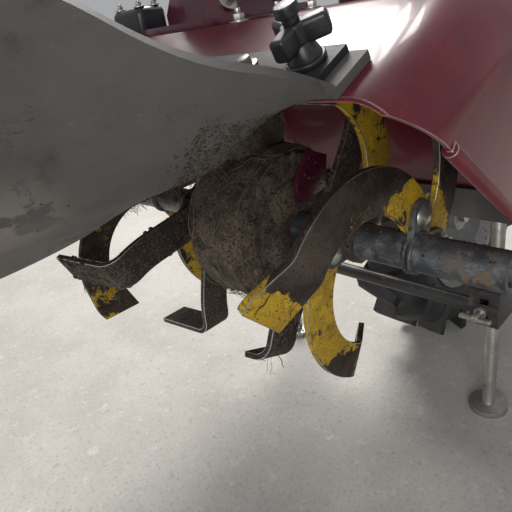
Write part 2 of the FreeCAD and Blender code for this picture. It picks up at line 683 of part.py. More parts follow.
def ear(place, angle, outward):
    """A plate welded to the tube: a wide root and a rounded end round the bolt."""
    tube = float(size.tube_radius) - 1.5
    bolt = float(size.ear_place)
    end_round = float(size.ear_round)
    thick = float(size.ear_thick)
    lean = math.radians(20)
    low = Vector(0, bolt + end_round * math.sin(lean), -end_round * math.cos(lean))
    high = Vector(0, low.y, -low.z)
    edges = [
        Part.LineSegment(Vector(0, -4, -tube), low).toShape(),
        Part.Arc(low, Vector(0, bolt + end_round, 0), high).toShape(),
        Part.LineSegment(high, Vector(0, -4, tube)).toShape(),
        Part.LineSegment(Vector(0, -4, tube), Vector(0, -4, -tube)).toShape(),
    ]
    shape = Part.Face(Part.Wire(edges)).extrude(Vector(thick, 0, 0))
    hole = Part.makeCylinder(float(size.ear_bolt), thick * 3, Vector(-thick, bolt, 0), Vector(1, 0, 0))
    return on_rotor(shape.cut(hole), place, angle, outward)


def blade_bolt(place, angle, outward):
    """Cup-head bolt on the ear's outer side, with its nut behind the blade."""
    radius = float(size.ear_bolt)
    bolt = float(size.ear_place)
    ear_face = float(size.ear_thick)
    blade_face = -float(size.tine_thick)
    cup = float(size.bolt_cup)
    high = float(size.bolt_cup_high)
    ball = (cup ** 2 + high ** 2) / (2 * high)
    head_shape = Part.makeSphere(ball, Vector(ear_face + high - ball, bolt, 0))
    head_shape = head_shape.common(
        Part.makeCylinder(cup, high, Vector(ear_face, bolt, 0), Vector(1, 0, 0)))
    nut_high = float(size.bolt_nut_high)
    shank = Part.makeCylinder(radius - 0.1, ear_face - blade_face + nut_high + 4,
                              Vector(blade_face - nut_high - 3, bolt, 0), Vector(1, 0, 0))
    corners = [Vector(blade_face, bolt + float(size.bolt_nut) * math.cos(math.radians(60 * k)),
                      float(size.bolt_nut) * math.sin(math.radians(60 * k))) for k in range(6)]
    nut = polygon_solid(corners, Vector(-nut_high, 0, 0))
    return on_rotor(head_shape.fuse([shank, nut]), place, angle, outward)


blade_sets = {}
ears = {-1: [], 1: []}
bolts = {-1: [], 1: []}
for name, side, place, angle, kind, way in BLADES:
    blade_sets.setdefault(name, []).append(blade(place, angle, kind, way))
    ear_side = 1 if way < 0 else -1
    ears[side].append(ear(place, angle, ear_side))
    bolts[side].append(blade_bolt(place, angle, ear_side))
for name, shapes in blade_sets.items():
    node("blades_" + name, shaped("blades_" + name, Part.makeCompound(shapes)))
for side, word in ((-1, "left"), (1, "right")):
    run = float(size.rotor_half) - float(size.tube_start_right if side > 0 else size.tube_start)
    start = spot_of(size.tube_start_right if side > 0 else -size.rotor_half, rotor_y, rotor_z)
    pipe = Part.makeCylinder(float(size.tube_radius), run, start, Vector(1, 0, 0))
    bore = Part.makeCylinder(float(size.shaft_radius), run, start, Vector(1, 0, 0))
    rotor_tube = pipe.multiFuse(ears[side]).cut(bore)
    node("rotor_tube_" + word, shaped("rotor_tube_" + word, rotor_tube))
    node("blade_bolts_" + word, shaped("blade_bolts_" + word, Part.makeCompound(bolts[side])))

# Hood: a pressed shell over the rotor with rounded shoulders, open below and behind
hood_wall = size.hood_sheet
arch = size.hood_top - size.hood_nose
slope_run = size.hood_back - size.hood_slope
slope_fall = size.hood_top - size.hood_lip
slope = math.atan2(float(slope_fall), float(slope_run))
foot_back = 60
side_back = size.hood_side


def hood_outline(inset, beyond):
    """The hood seen from the side, set in from its outer face and let out below."""
    top = rotor_z + size.hood_top - inset
    front = rotor_y + size.hood_front - inset
    lip = rotor_z + size.hood_lip
    tail = beyond / slope_run * slope_fall
    rows = [
        (front, rotor_z + size.hood_foot - beyond), (front, rotor_z + size.hood_nose),
        (rotor_y + size.hood_front - arch, top, arch - inset), (rotor_y - size.hood_slope, top),
        (rotor_y - size.hood_back - beyond, lip - inset - tail),
    ]
    if float(beyond) > 0:
        rows.append((rotor_y - size.hood_back - beyond, rotor_z + size.hood_foot - beyond))
    else:
        rows += [(rotor_y - size.hood_back, lip - size.hood_roll * 2),
                 (rotor_y + side_back, rotor_z + 2), (rotor_y + foot_back, rotor_z + size.hood_foot)]
    return rows


def is_shoulder(edge, half):
    """True for the hood's long edges between its side walls and its front, arch and top."""
    middle = edge.CenterOfMass
    above = middle.z > float(rotor_z + size.hood_lip) + 4
    in_front = middle.y > float(rotor_y + size.hood_front) - 6
    off_foot = middle.z > float(rotor_z + size.hood_foot) + 2
    return in_end_face(edge, (-half, half)) and (above or in_front and off_foot)


beyond = size.hood_side / 2
hood_solid = plate("hood_solid", hood_outline(measure(0), measure(0)),
                   (-size.hood_half, size.hood_half))
hollow_half = size.hood_half - hood_wall
hood_hollow = plate("hood_hollow", hood_outline(hood_wall, beyond), (-hollow_half, hollow_half))
hood_outer = rounded("hood_outer", hood_solid, size.hood_shoulder,
                     lambda edge: is_shoulder(edge, size.hood_half))
hood_inner = rounded("hood_inner", hood_hollow, size.hood_shoulder - hood_wall,
                     lambda edge: is_shoulder(edge, hollow_half))
column_hole = block("column_hole", (-column_half - 1, rotor_y - column_depth - 1, rotor_z + 100),
                    (column_half + 1, rotor_y + column_depth + 1, hood_peak + 10))
rolls = []
for side in (-1, 1):
    middle = side * (size.hood_half - hood_wall / 2)
    rolls.append(shaped("rolled_edge", bent_tube((
        (middle, rotor_y - size.hood_back + 30, rotor_z + size.hood_lip - 30),
        (middle, rotor_y + side_back, rotor_z + 2),
        (middle, rotor_y + foot_back, rotor_z + size.hood_foot + 2)), size.hood_roll, 12)))
hood_shell = cut("hood_shell", hood_outer, [hood_inner])
node("hood", cut("hood", fuse("hood_pressing", [hood_shell] + rolls), [column_hole]))

# Rubber strip under the front wall
skirt_back = rotor_y + size.hood_front - hood_wall - size.flap_thick
skirt_half = size.hood_half - size.hood_shoulder
skirt_hang = 18
skirt_lap = 16
skirt = block("front_skirt", (-skirt_half, skirt_back, rotor_z + size.hood_foot - skirt_hang),
              (skirt_half, skirt_back + size.flap_thick - 0.2, rotor_z + size.hood_foot + skirt_lap))
node("front_skirt", skirt, (0, skirt_back, 0))


# How steeply the flap runs down, in degrees. Each row is a share of its width from the right,
# and then the angles at 0, 1/4, 1/2, 3/4 and all of the flap's free length
FLAP_ANGLES = (
    (0.0, (-8, -20, -25, -26, -26)),
    (0.25, (48, 34, 12, -8, -14)),
    (0.5, (72, 58, 34, 8, -4)),
    (0.75, (86, 74, 52, 28, 6)),
    (1.0, (90, 78, 64, 44, 18)),
)
flap_seat = size.hood_back + size.flap_overlap


def between(rows, value):
    """Reads a table of (place, result) rows by straight lines between them."""
    for (low, low_result), (high, high_result) in zip(rows, rows[1:]):
        if value <= high:
            share = (value - low) / (high - low)
            return low_result + (high_result - low_result) * share
    return rows[-1][1]


def flap_angle(reach_share, left_share):
    """How steeply the flap runs down (radians) at a share of its length and of its width."""
    here = []
    for column in range(5):
        across = [(share, angles[column]) for share, angles in FLAP_ANGLES]
        here.append((column / 4, between(across, left_share)))
    return math.radians(between(here, reach_share))


def flap_station(place):
    """The flap's section at a place along X: a clamped straight part and a curved run."""
    left = float(size.flap_left)
    right = float(size.flap_right)
    share = (right - place) / (right + left)
    thick = float(size.flap_thick)
    clamp = float(size.strip_deep)
    lift = 0.2
    along = Vector(0, -math.cos(slope), -math.sin(slope))
    normal = Vector(0, -math.sin(slope), math.cos(slope))
    top_line = Vector(place, float(rotor_y - size.hood_slope), float(hood_peak))
    seat_y = float(rotor_y - flap_seat)
    seat = top_line + along * ((top_line.y - seat_y) / math.cos(slope)) + normal * lift
    pitch = 4.0
    count = int(float(size.flap_length) / pitch)
    lower, upper = [seat], [seat + normal * thick]
    spot = seat
    for index in range(count):
        angle = flap_angle((index + 0.5) / count, share)
        spot = spot + Vector(0, -math.cos(angle), -math.sin(angle)) * pitch
        if index % 5 == 4 or index == count - 1:
            lower.append(spot)
            upper.append(spot + Vector(0, -math.sin(angle), math.cos(angle)) * thick)
    start = seat - along * clamp
    edges = [Part.LineSegment(start, seat).toShape()]
    low_curve, high_curve = Part.BSplineCurve(), Part.BSplineCurve()
    low_curve.interpolate(lower)
    high_curve.interpolate(upper)
    edges += [
        low_curve.toShape(),
        Part.LineSegment(lower[-1], upper[-1]).toShape(),
        high_curve.toShape(),
        Part.LineSegment(upper[0], upper[0] - along * clamp).toShape(),
        Part.LineSegment(upper[0] - along * clamp, start).toShape(),
    ]
    return Part.Wire(Part.__sortEdges__(edges))


stations = 9
flap_width = float(size.flap_left) + float(size.flap_right)
flap_places = [-float(size.flap_left) + flap_width * step / (stations - 1)
               for step in range(stations)]
flap = Part.makeLoft([flap_station(place) for place in flap_places], True, False)
node("rear_flap", shaped("rear_flap", flap))

# Steel strip that clamps the flap, and the two wing knobs that hold it
slope_degrees = math.degrees(slope)


def on_slope(shape, place, down):
    """Sets a piece drawn upright on the flap's clamped top, so far down from the hood's bend."""
    shape.rotate(Vector(), Vector(1, 0, 0), slope_degrees)
    along = Vector(0, -math.cos(slope), -math.sin(slope))
    normal = Vector(0, -math.sin(slope), math.cos(slope))
    base = Vector(place, float(rotor_y - size.hood_slope), float(hood_peak))
    shape.translate(base + along * down + normal * (float(size.flap_thick) + 0.2))
    return shape


seat_down = (float(flap_seat) - float(size.hood_slope)) / math.cos(slope)
strip_mid = seat_down - float(size.strip_deep) / 2 - 1
half_strip = float(size.strip_half)
strip_shape = Part.makeBox(half_strip * 2, float(size.strip_deep) - 2, float(size.strip_thick),
                           Vector(-half_strip, -float(size.strip_deep) / 2 + 1, 0))
node("flap_strip", shaped("flap_strip", Part.makeCompound([on_slope(strip_shape, 0, strip_mid)])))


def wing_knob(place):
    """A moulded knob: round base, two rounded wings, a neck and a round cap."""
    base = float(size.knob_base)
    wing = float(size.knob_wing)
    up = float(size.strip_thick)
    foot = Part.makeCylinder(base, 6, Vector(0, 0, up), Vector(0, 0, 1))
    body = Part.makeCone(base - 1, base - 4, 16, Vector(0, 0, up + 5), Vector(0, 0, 1))
    parts = [body]
    for side in (-1, 1):
        blade_box = Part.makeBox(wing, 11, 13, Vector(0, -5.5, up + 7))
        blade_box = blade_box.makeFillet(4, [edge for edge in blade_box.Edges
                                             if edge.CenterOfMass.x > wing - 0.01])
        blade_box.rotate(Vector(), Vector(0, 0, 1), 0 if side > 0 else 180)
        parts.append(blade_box)
    neck = Part.makeCylinder(float(size.knob_stem), 12, Vector(0, 0, up + 20), Vector(0, 0, 1))
    cap = Part.makeCylinder(float(size.knob_cap), 6, Vector(0, 0, up + 31), Vector(0, 0, 1))
    cap = cap.makeFillet(2, cap.Edges[:1] + cap.Edges[2:])
    whole = foot.multiFuse(parts + [neck, cap])
    whole.rotate(Vector(), Vector(0, 0, 1), 25)
    return on_slope(whole, place, strip_mid)


node("hood_knobs", shaped("hood_knobs", Part.makeCompound(
    [wing_knob(side * float(size.knob_side)) for side in (-1, 1)])))

# Small moulded box on the hood's top, left of the column
box_low = (-plate_half - size.box_wide, rotor_y - size.box_behind, hood_peak)
box_high = (-plate_half, rotor_y - size.box_behind + size.box_deep, hood_peak + size.box_tall)
latch_block = block("latch_block", box_low, box_high)
node("latch_box", rounded("latch_box", latch_block, 6,
                          lambda edge: edge.CenterOfMass.z > float(hood_peak) + 1))

# Engine bed in front of the gearbox, with turned-down sides and a turned-up back
deck = case_base + size.bed_thick
bed = fuse("bed_plates", (
    block("bed_plate", (-size.bed_half, size.case_front, case_base),
          (size.bed_half, size.bed_front, deck)),
    block("bed_left", (-size.bed_half, size.case_front, case_base - size.bed_flange),
          (-size.bed_half + size.bed_thick, size.bed_front, case_base + 1)),
    block("bed_right", (size.bed_half - size.bed_thick, size.case_front, case_base - size.bed_flange),
          (size.bed_half, size.bed_front, case_base + 1)),
    block("bed_back", (-size.bed_half, size.case_front, case_base),
          (size.bed_half, size.case_front + size.bed_thick, case_base + size.bed_lip)),
))
node("engine_bed", bed)

# Engine, closed inside: crankcase with a leaning cylinder of open fins
crank_y = size.engine_ahead
crank_z = deck + size.crank_rise
seat_low = deck + size.seat_rise
lean_run = size.seat_run * cosine(size.fin_lean)
lean_rise = size.seat_run * sine(size.fin_lean)
crank_half = 70
cover_radius = 52
cover_lift = 6
crank_front = crank_y + 98
crank_back = crank_y - 92
crankcase = plate("crank_body", (
    (crank_front, deck), (crank_front, seat_low), (crank_front - lean_run, seat_low + lean_rise),
    (crank_y - 60, seat_low + lean_rise), (crank_back, deck + 110), (crank_back, deck),
), (-crank_half, crank_half))
crank_soft = rounded("crank_soft", crankcase, 8, lambda edge: in_end_face(
    edge, (-crank_half, crank_half)) and edge.CenterOfMass.z > float(deck) + 20
    and edge.CenterOfMass.y < float(crank_y))
side_cover = rod("side_cover", cover_radius, (-crank_half - cover_lift, crank_y, crank_z), crank_half)
node("crankcase", fuse("crankcase", (crank_soft, side_cover)))

barrel_high = size.fin_count * size.fin_pitch + 8
fin_stack = [rod("bore_wall", size.barrel, (0, 0, 0), barrel_high, "Z")]
for index in range(int(float(size.fin_count))):
    plate_low = 8 + index * size.fin_pitch
    fin_stack.append(block("fin", (-size.fin_half, -size.fin_half + 2, plate_low),
                           (size.fin_half, size.fin_half - 2, plate_low + size.fin_thick)))
fin_stack.append(rod("plug", 7, (14, 0, barrel_high), 22, "Z"))
cylinder = fuse("cylinder", fin_stack)
cylinder.Placement = Placement(Vector(), Rotation(Vector(1, 0, 0), -float(size.fin_lean)))
node("cylinder", cylinder, (0, crank_front - lean_run / 2, 0))
bind(cylinder, "Placement.Base.z", seat_low + lean_rise / 2)

# Recoil starter: a bell over the flywheel with air slots in its face
recoil_z = crank_z + 22
bell = turned("recoil_bell", (
    (crank_half, 40), (crank_half, size.recoil_radius), (size.recoil_reach - 16, size.recoil_radius - 6),
    (size.recoil_reach - 4, size.recoil_radius - 24, 26), (size.recoil_reach, 30),
    (size.recoil_reach, 6), (size.recoil_reach - 8, 6), (size.recoil_reach - 8, 30),
    (size.recoil_reach - 24, 40),
))
put(bell, crank_y, recoil_z)
slots = []
for index in range(int(float(size.recoil_slots))):
    angle = measure(index) * 360 / size.recoil_slots
    slots.append(rod("air_slot", 7, (
        crank_half + 20, crank_y + 54 * cosine(angle), recoil_z + 54 * sine(angle)), size.recoil_reach))
node("recoil_cover", cut("recoil_cover", bell, slots))

# Fuel tank over the gearbox on its bracket, with its cap
tank_low = case_top + size.tank_lift
tank_top = tank_low + size.tank_tall
low_round = 20
high_round = 34
tank = plate("tank_body", (
    (size.tank_front - low_round, tank_low), (size.tank_front, tank_low + low_round, low_round),
    (size.tank_front, tank_top - 24), (size.tank_front - 30, tank_top, high_round),
    (-size.tank_back + 30, tank_top), (-size.tank_back, tank_top - 24, high_round),
    (-size.tank_back, tank_low + low_round), (-size.tank_back + low_round, tank_low, low_round),
), (-size.tank_half, size.tank_half))
tank_soft = rounded("tank_soft", tank, 14,
                    lambda edge: in_end_face(edge, (-size.tank_half, size.tank_half)))
tank_foot = block("tank_foot", (-size.tank_half + 35, -8, case_top),
                  (size.tank_half - 40, 20, tank_low + 1))
tank_seam = block("tank_seam", (-size.tank_half - 4, -size.tank_back - 4, tank_low + 50),
                  (size.tank_half + 4, size.tank_front + 4, tank_low + 53))
node("fuel_tank", fuse("fuel_tank", (tank_soft, tank_foot, tank_seam)))
cap_x = 30
cap_y = (size.tank_front - size.tank_back) / 2
cap_ring = size.cap_radius + 1
cap = rod("cap_body", size.cap_radius, (cap_x, cap_y, tank_top), size.cap_tall, "Z")
cap_grips = [rod("cap_grip", 4, (cap_x + cap_ring * cosine(turn), cap_y + cap_ring * sine(turn),
                                 tank_top + 6), size.cap_tall, "Z") for turn in range(0, 360, 45)]
node("fuel_cap", cut("fuel_cap", cap, cap_grips))

# Silencer in front of the cylinder on a plate, with its tail pipe
silencer_back = crank_y + 130
silencer_front = silencer_back + size.silencer_long
silencer_low = deck + 120
silencer_top = silencer_low + size.silencer_tall
silencer_side = 20
silencer_faces = (-size.silencer_wide / 2 - silencer_side, size.silencer_wide / 2 - silencer_side)
silencer_body = plate("silencer_body", (
    (silencer_back, silencer_low), (silencer_front - size.silencer_round, silencer_low),
    (silencer_front, silencer_low + size.silencer_round, size.silencer_round),
    (silencer_front, silencer_top - size.silencer_round),
    (silencer_front - size.silencer_round, silencer_top, size.silencer_round),
    (silencer_back, silencer_top),
), silencer_faces)
silencer_soft = rounded("silencer_soft", silencer_body, 8,
                        lambda edge: in_end_face(edge, silencer_faces))
tail_z = silencer_low + 22
tail_pipe = rod("tail_pipe", 11, (0, silencer_front - 30, tail_z), 48, "Y")
tail_bore = rod("tail_bore", 9, (0, silencer_front + 2, tail_z), 20, "Y")
silencer_leg = block("silencer_leg", (-size.silencer_long, silencer_back + 20, deck),
                     (silencer_side, silencer_back + 24, silencer_low + 1))
silencer_parts = fuse("silencer_parts", (silencer_soft, tail_pipe, silencer_leg))
node("silencer", cut("silencer", silencer_parts, [tail_bore]))

# Air cleaner with its stack of filter and cover, and the intake below it
air_low = seat_low + lean_rise
air_cleaner = plate("air_body", (
    (crank_y - 60, air_low), (crank_y - 14, air_low), (crank_y - 14, deck + 214),
    (crank_y - 30, deck + 230, 16), (crank_y - 68, deck + 230), (crank_y - 88, deck + 210, 20),
    (crank_y - 88, air_low + 20),
), (-54, 56))
air_soft = rounded("air_soft", air_cleaner, 10, lambda edge: in_end_face(edge, (-54, 56))
                   and edge.CenterOfMass.z > float(air_low) + 26)
air_knob = rod("air_knob", 9, (56, crank_y - 50, deck + 190), 10)
node("air_cleaner", fuse("air_cleaner", (air_soft, air_knob)))

# Belt cover over the pulleys on the left, with a raised face
pulley_big = 70
pulley_small = 46
pulley_y = -30
belt_pan_back = 5
belt_pan_front = 30
belt_face_front = 36


def belt_outline(inset):
    """Two round ends joined by straight belts, set in all round."""
    big, small = pulley_big - inset, pulley_small - inset
    return (
        (crank_y + big, crank_z, big), (crank_y, crank_z + big, big),
        (pulley_y, size.drive_height + small), (pulley_y - small, size.drive_height, small),
        (pulley_y, size.drive_height - small, small), (crank_y, crank_z - big),
    )


belt_pan = plate("belt_pan", belt_outline(0), (case_left - belt_pan_front, case_left - belt_pan_back))
belt_face = plate("belt_face", belt_outline(16),
                  (case_left - belt_face_front, case_left - belt_pan_front + 1))
node("belt_cover", fuse("belt_cover", (belt_pan, belt_face)))

# Front guard of bent tube
guard_y = size.bumper_reach - size.bumper_radius
guard_low = case_base - size.bumper_drop
guard_high = case_base + size.bumper_rise
front_guard = shaped("front_guard", bent_tube((
    (-size.bumper_half, size.bed_front, guard_low), (-size.bumper_half, guard_y, guard_low),
    (-size.bumper_half, guard_y, guard_high), (size.bumper_half, guard_y, guard_high),
    (size.bumper_half, guard_y, guard_low), (size.bumper_half, size.bed_front, guard_low),
), size.bumper_radius, size.bumper_bend))
node("front_guard", front_guard)

# Rear stand: a cross bar carried on an arm of the leg, and two legs that slide in slotted guides
bar_y = -size.stand_behind
bar_z = size.stand_bar
guide_y = -size.stand_leg
guide_half = size.guide_wide / 2
leg_slope = size.leg_flare / (leg_top - size.wheel_radius)


def leg_back(height):
    """Rear edge of the drive case's leg at a height."""
    return -size.leg_radius - (height - size.wheel_radius) * leg_slope


arm_low = size.wheel_radius + 14
arm_high = arm_low + 62
arm_mid = (case_left + case_right) / 2
stand_arm = plate("stand_arm", (
    (leg_back(arm_low), arm_low), (leg_back(arm_high), arm_high), (bar_y, bar_z + 16),
    (bar_y - 4, bar_z), (bar_y, bar_z - 12),
), (arm_mid - 5, arm_mid + 5))
bar_parts = [stand_arm, rod("cross_bar", size.bar_radius, (-size.stand_half, bar_y, bar_z),
                            size.stand_half * 2)]
guide_tools = []
for side in (-1, 1):
    middle = side * (size.stand_half - guide_half)
    bar_parts.append(block("guide", (middle - guide_half, bar_y - 4, bar_z - size.guide_tall / 2),
                           (middle + guide_half, guide_y + 14, bar_z + size.guide_tall / 2)))
    guide_tools.append(rod("guide_bore", size.leg_rod + size.axle_gap,
                           (middle, guide_y, bar_z - size.guide_tall), size.guide_tall * 2, "Z"))
    slot_low = (middle - size.slot_wide / 2, bar_y - 6, bar_z - size.slot_tall / 2)
    slot_high = (middle + size.slot_wide / 2, guide_y, bar_z + size.slot_tall / 2)
    guide_tools.append(block("guide_slot", slot_low, slot_high))
node("stand_bar", cut("stand_bar", fuse("stand_frame", bar_parts), guide_tools))
for side, word in ((-1, "left"), (1, "right")):
    middle = side * (size.stand_half - guide_half)
    leg_long = bar_z + size.guide_tall / 2 + size.stand_lift
    leg_parts = [rod("leg_rod", size.leg_rod, (middle, guide_y, 0), leg_long, "Z"),
                 rod("foot", size.foot_radius, (middle, guide_y, 0), size.foot_thick, "Z")]
    node("stand_leg_" + word, fuse("stand_leg_" + word, leg_parts))

# Handle: one bent tube, turned in a clamp on the drive tube
pivot_y = -size.pivot_behind
pivot_z = size.drive_height + size.pivot_rise
handle_z = size.drive_height + size.handle_rise
arm_z = size.drive_height + size.arm_rise
grip_start = size.handle_reach - size.grip_length
end_gap = 4
half_route = ((size.pivot_half, pivot_y, pivot_z), (size.arm_half, -size.arm_behind, arm_z),
              (size.handle_half, -(grip_start - 60), handle_z),
              (size.handle_half, -size.handle_reach + end_gap, handle_z))
route = [(-x, y, z) for x, y, z in reversed(half_route)] + list(half_route)
node("handlebar", shaped("handlebar", bent_tube(route, size.handle_radius, size.handle_bend)))
for side, word in ((-1, "left"), (1, "right")):
    end = (side * size.handle_half, -size.handle_reach, handle_z)
    outer = fuse("grip_body", [rod("grip_outer", size.grip_radius, end, size.grip_length, "Y")] + [
        rod("grip_ring", size.grip_radius + 2, (end[0], end[1] + place, end[2]), 4, "Y")
        for place in (0, size.grip_length - 4)])
    inner = rod("grip_inner", size.handle_radius, (end[0], end[1] + end_gap, end[2]),
                size.grip_length, "Y")
    node("grip_" + word, cut("grip_" + word, outer, [inner]))
clamp_low = size.drive_height + 20
clamp = plate("clamp_body", (
    (pivot_y + size.clamp_wall, clamp_low), (pivot_y + size.clamp_wall, pivot_z),
    (pivot_y, pivot_z + size.clamp_wall, size.clamp_wall),
    (pivot_y - size.clamp_wall, pivot_z, size.clamp_wall), (pivot_y - size.clamp_wall, clamp_low),
), (-size.clamp_length / 2, size.clamp_length / 2))
clamp_bore = rod("clamp_bore", size.handle_radius + size.axle_gap, (-size.clamp_length, pivot_y, pivot_z),
                 size.clamp_length * 2)
clamp_seat = rod("clamp_seat", size.drive_radius, (0, pivot_y - 40, size.drive_height), 80, "Y")
clamp_flange = rod("clamp_flange", size.drive_flange,
                   (0, tube_front - size.flange_thick, size.drive_height), size.flange_thick, "Y")
node("handle_clamp", cut("handle_clamp", clamp, [clamp_bore, clamp_seat, clamp_flange]))

# Clutch lever under the left grip, on a block clamped round the tube
lever_y = -(grip_start - 24)
lever_x = -size.handle_half
lever_block = block("lever_block", (lever_x - 18, lever_y - 12, handle_z - 36),
                    (lever_x + 18, lever_y + 12, handle_z + 18))
lever_bore = rod("lever_bore", size.handle_radius, (lever_x, lever_y - 20, handle_z), 40, "Y")
lever_bar = shaped("lever_bar", bent_tube((
    (lever_x, lever_y - 6, handle_z - 26), (lever_x, lever_y - 40, handle_z - 40),
    (lever_x, -size.handle_reach + 10, handle_z - 46)), size.lever_radius, 20))
node("clutch_lever", cut("clutch_lever", fuse("lever_parts", (lever_block, lever_bar)), [lever_bore]))

# Shift lever on the gearbox and its knob
lever_foot = (0, -60, case_top)
knob_y = -size.pivot_behind - 174
knob_z = case_top + 222
lever_end = (0, knob_y + 8, knob_z - 4)
node("shift_lever", shaped("shift_lever", bent_tube((
    lever_foot, (0, -60, case_top + 60), lever_end), size.lever_radius, 40)))
knob = doc.addObject("Part::Sphere", "knob_ball")
bind(knob, "Radius", size.knob_radius)
put(knob, knob_y, knob_z)
knob_bore = shaped("knob_bore", bent_tube((
    lever_foot, (0, -60, case_top + 60), lever_end), size.lever_radius, 40))
node("shift_knob", cut("shift_knob", knob, [knob_bore]))

doc.recompute()
bad = [item.Name for item in doc.Objects if "Invalid" in item.State or "Error" in item.State]
bad += [item.Label for item in nodes if item.Shape.isNull() or not item.Shape.isValid()]
for item in nodes:
    box = item.Shape.BoundBox
    print("%-22s %d solids %8d mm3  x %6.1f %6.1f  y %7.1f %7.1f  z %6.1f %6.1f" % (
        item.Label, len(item.Shape.Solids), item.Shape.Volume,
        box.XMin, box.XMax, box.YMin, box.YMax, box.ZMin, box.ZMax))
if bad:
    raise SystemExit("failed: %s" % bad)
os.makedirs("parts", exist_ok=True)
for item in nodes:
    item.Shape.exportStep("parts/%s.step" % item.Label)
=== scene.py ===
# %% [markdown]
# # A walk-behind rotary tiller, seen from close behind its right side
# The solids of the machine come from a fixed model of the real parts. This lesson dresses them:
# it adds what a solid lacks, such as bolts, weld beads, soil and straw, and gives each surface a
# finish. Most parts keep their solid, because its shape is right; what changes is how the light
# meets it. The first step loads the solids.

# %% Load the machine's solids
import bpy
import bmesh
import math
import random
from mathutils import Matrix, Vector
from mathutils.bvhtree import BVHTree
from mathutils.noise import turbulence


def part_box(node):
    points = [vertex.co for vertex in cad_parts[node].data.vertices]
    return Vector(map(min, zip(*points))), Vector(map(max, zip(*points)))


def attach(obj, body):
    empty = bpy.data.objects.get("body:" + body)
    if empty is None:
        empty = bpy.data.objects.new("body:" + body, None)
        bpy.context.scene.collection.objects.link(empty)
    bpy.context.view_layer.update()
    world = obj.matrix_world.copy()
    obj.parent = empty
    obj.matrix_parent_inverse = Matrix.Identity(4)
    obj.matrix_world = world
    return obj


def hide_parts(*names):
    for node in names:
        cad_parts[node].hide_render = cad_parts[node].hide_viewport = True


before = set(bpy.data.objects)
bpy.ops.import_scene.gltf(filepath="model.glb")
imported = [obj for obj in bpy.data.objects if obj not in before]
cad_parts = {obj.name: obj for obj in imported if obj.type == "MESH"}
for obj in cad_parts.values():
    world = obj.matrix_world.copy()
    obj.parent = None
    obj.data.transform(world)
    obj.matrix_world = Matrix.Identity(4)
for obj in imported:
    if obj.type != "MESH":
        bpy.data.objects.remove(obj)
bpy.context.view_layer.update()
scene = bpy.context.scene
MM = 0.001

# %% [markdown]
# ## One point to measure from
# Nearly all that the picture shows lies round the rotor, so its axis is a good origin. The helper
# below turns millimetres from the middle of that axis into a place in the scene, and the lesson
# reads the middle from the rotor's own shaft instead of typing it.

# %% A place in millimetres from the rotor's axis
rotor_low, rotor_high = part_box("rotor_shaft")
rotor_mid = (Vector(rotor_low) + Vector(rotor_high)) / 2


def at(x, y, z):
    """A place in millimetres from the middle of the rotor's axis."""
    return rotor_mid + Vector((x, y, z)) * MM


print("rotor axis at", rotor_mid)

# %% [markdown]
# ## Camera
# The picture was taken from just behind the machine's right side, a little above the rotor,
# looking forward, to the left and down. A camera is placed by three unit vectors: what points
# right in the picture, what points up in it, and what points back at the viewer. The focal
# length in pixels, over the picture's width, gives the lens.

# %% Place the camera
PICTURE_PIXELS = 512
FOCAL_PIXELS = 500
SENSOR_WIDTH = 36
CAMERA_SPOT = (362, -334, 195)
look_right = Vector((0.705, 0.692, -0.157)).normalized()
look_back = Vector((0.679, -0.593, 0.434)).normalized()
look_up = look_back.cross(look_right).normalized()
look_right = look_up.cross(look_back).normalized()
camera_data = bpy.data.cameras.new("camera")
camera_data.sensor_width = SENSOR_WIDTH
camera_data.lens = SENSOR_WIDTH * FOCAL_PIXELS / PICTURE_PIXELS
camera_data.clip_start = 0.02
camera = bpy.data.objects.new("camera", camera_data)
scene.collection.objects.link(camera)
turn = Matrix((look_right, look_up, look_back)).transposed().to_4x4()
camera.matrix_world = Matrix.Translation(at(*CAMERA_SPOT)) @ turn
scene.camera = camera
print("camera at", camera.location, "lens", round(camera_data.lens, 1))

# %% [markdown]
# ## Node trees in a few words
# A material is a tree of nodes. Adding a node takes three steps in Python: make it, set its
# fields, and fill its sockets with a number or with another node's output. One helper does all
# three, and a few more name the steps that come back most: noise, a soft threshold, a sum or a
# product, a blend of two colours, and a mask that fades with the distance from one place.

# %% Helpers for node trees
def add_node(tree, kind, sockets=None, **settings):
    """Adds a node, sets its fields, and fills its sockets with values or links."""
    made = tree.nodes.new("ShaderNode" + kind)
    for field, value in settings.items():
        setattr(made, field, value)
    for name, value in (sockets or {}).items():
        if isinstance(value, bpy.types.NodeSocket):
            tree.links.new(value, made.inputs[name])
        else:
            made.inputs[name].default_value = value
    return made


def object_place(tree):
    """Where a point lies, in the coordinates of its own piece."""
    return add_node(tree, "TexCoord").outputs["Object"]


def noise(tree, where, scale, detail=4, seed=0, rough=0.6):
    """Cloudy noise whose pattern changes with the seed."""
    return add_node(tree, "TexNoise", {"Vector": where, "W": seed, "Scale": scale, "Detail": detail,
                                       "Roughness": rough}, noise_dimensions="4D").outputs[0]


def soft_step(tree, value, low, high):
    """0 below low, 1 above high, and a smooth rise between them."""
    return add_node(tree, "MapRange", {"Value": value, "From Min": low, "From Max": high},
                    interpolation_type="SMOOTHSTEP").outputs[0]


def calc(tree, way, first, second=0):
    """A sum, a product or another sum of two numbers or sockets."""
    return add_node(tree, "Math", {0: first, 1: second}, operation=way).outputs[0]


def blend_colour(tree, share, first, second):
    """The first colour where share is 0, and the second where it is 1."""
    colours = {index: value if isinstance(value, bpy.types.NodeSocket) else (*value, 1)
               for index, value in ((6, first), (7, second))}
    return add_node(tree, "Mix", {0: share, **colours}, data_type="RGBA").outputs[2]


def near_place(tree, where, spot, near, far):
    """1 within the near distance of a place and 0 beyond the far one, both in mm."""
    gap = add_node(tree, "VectorMath", {0: where, 1: tuple(spot)}, operation="DISTANCE").outputs["Value"]
    return calc(tree, "SUBTRACT", 1, soft_step(tree, gap, near * MM, far * MM))


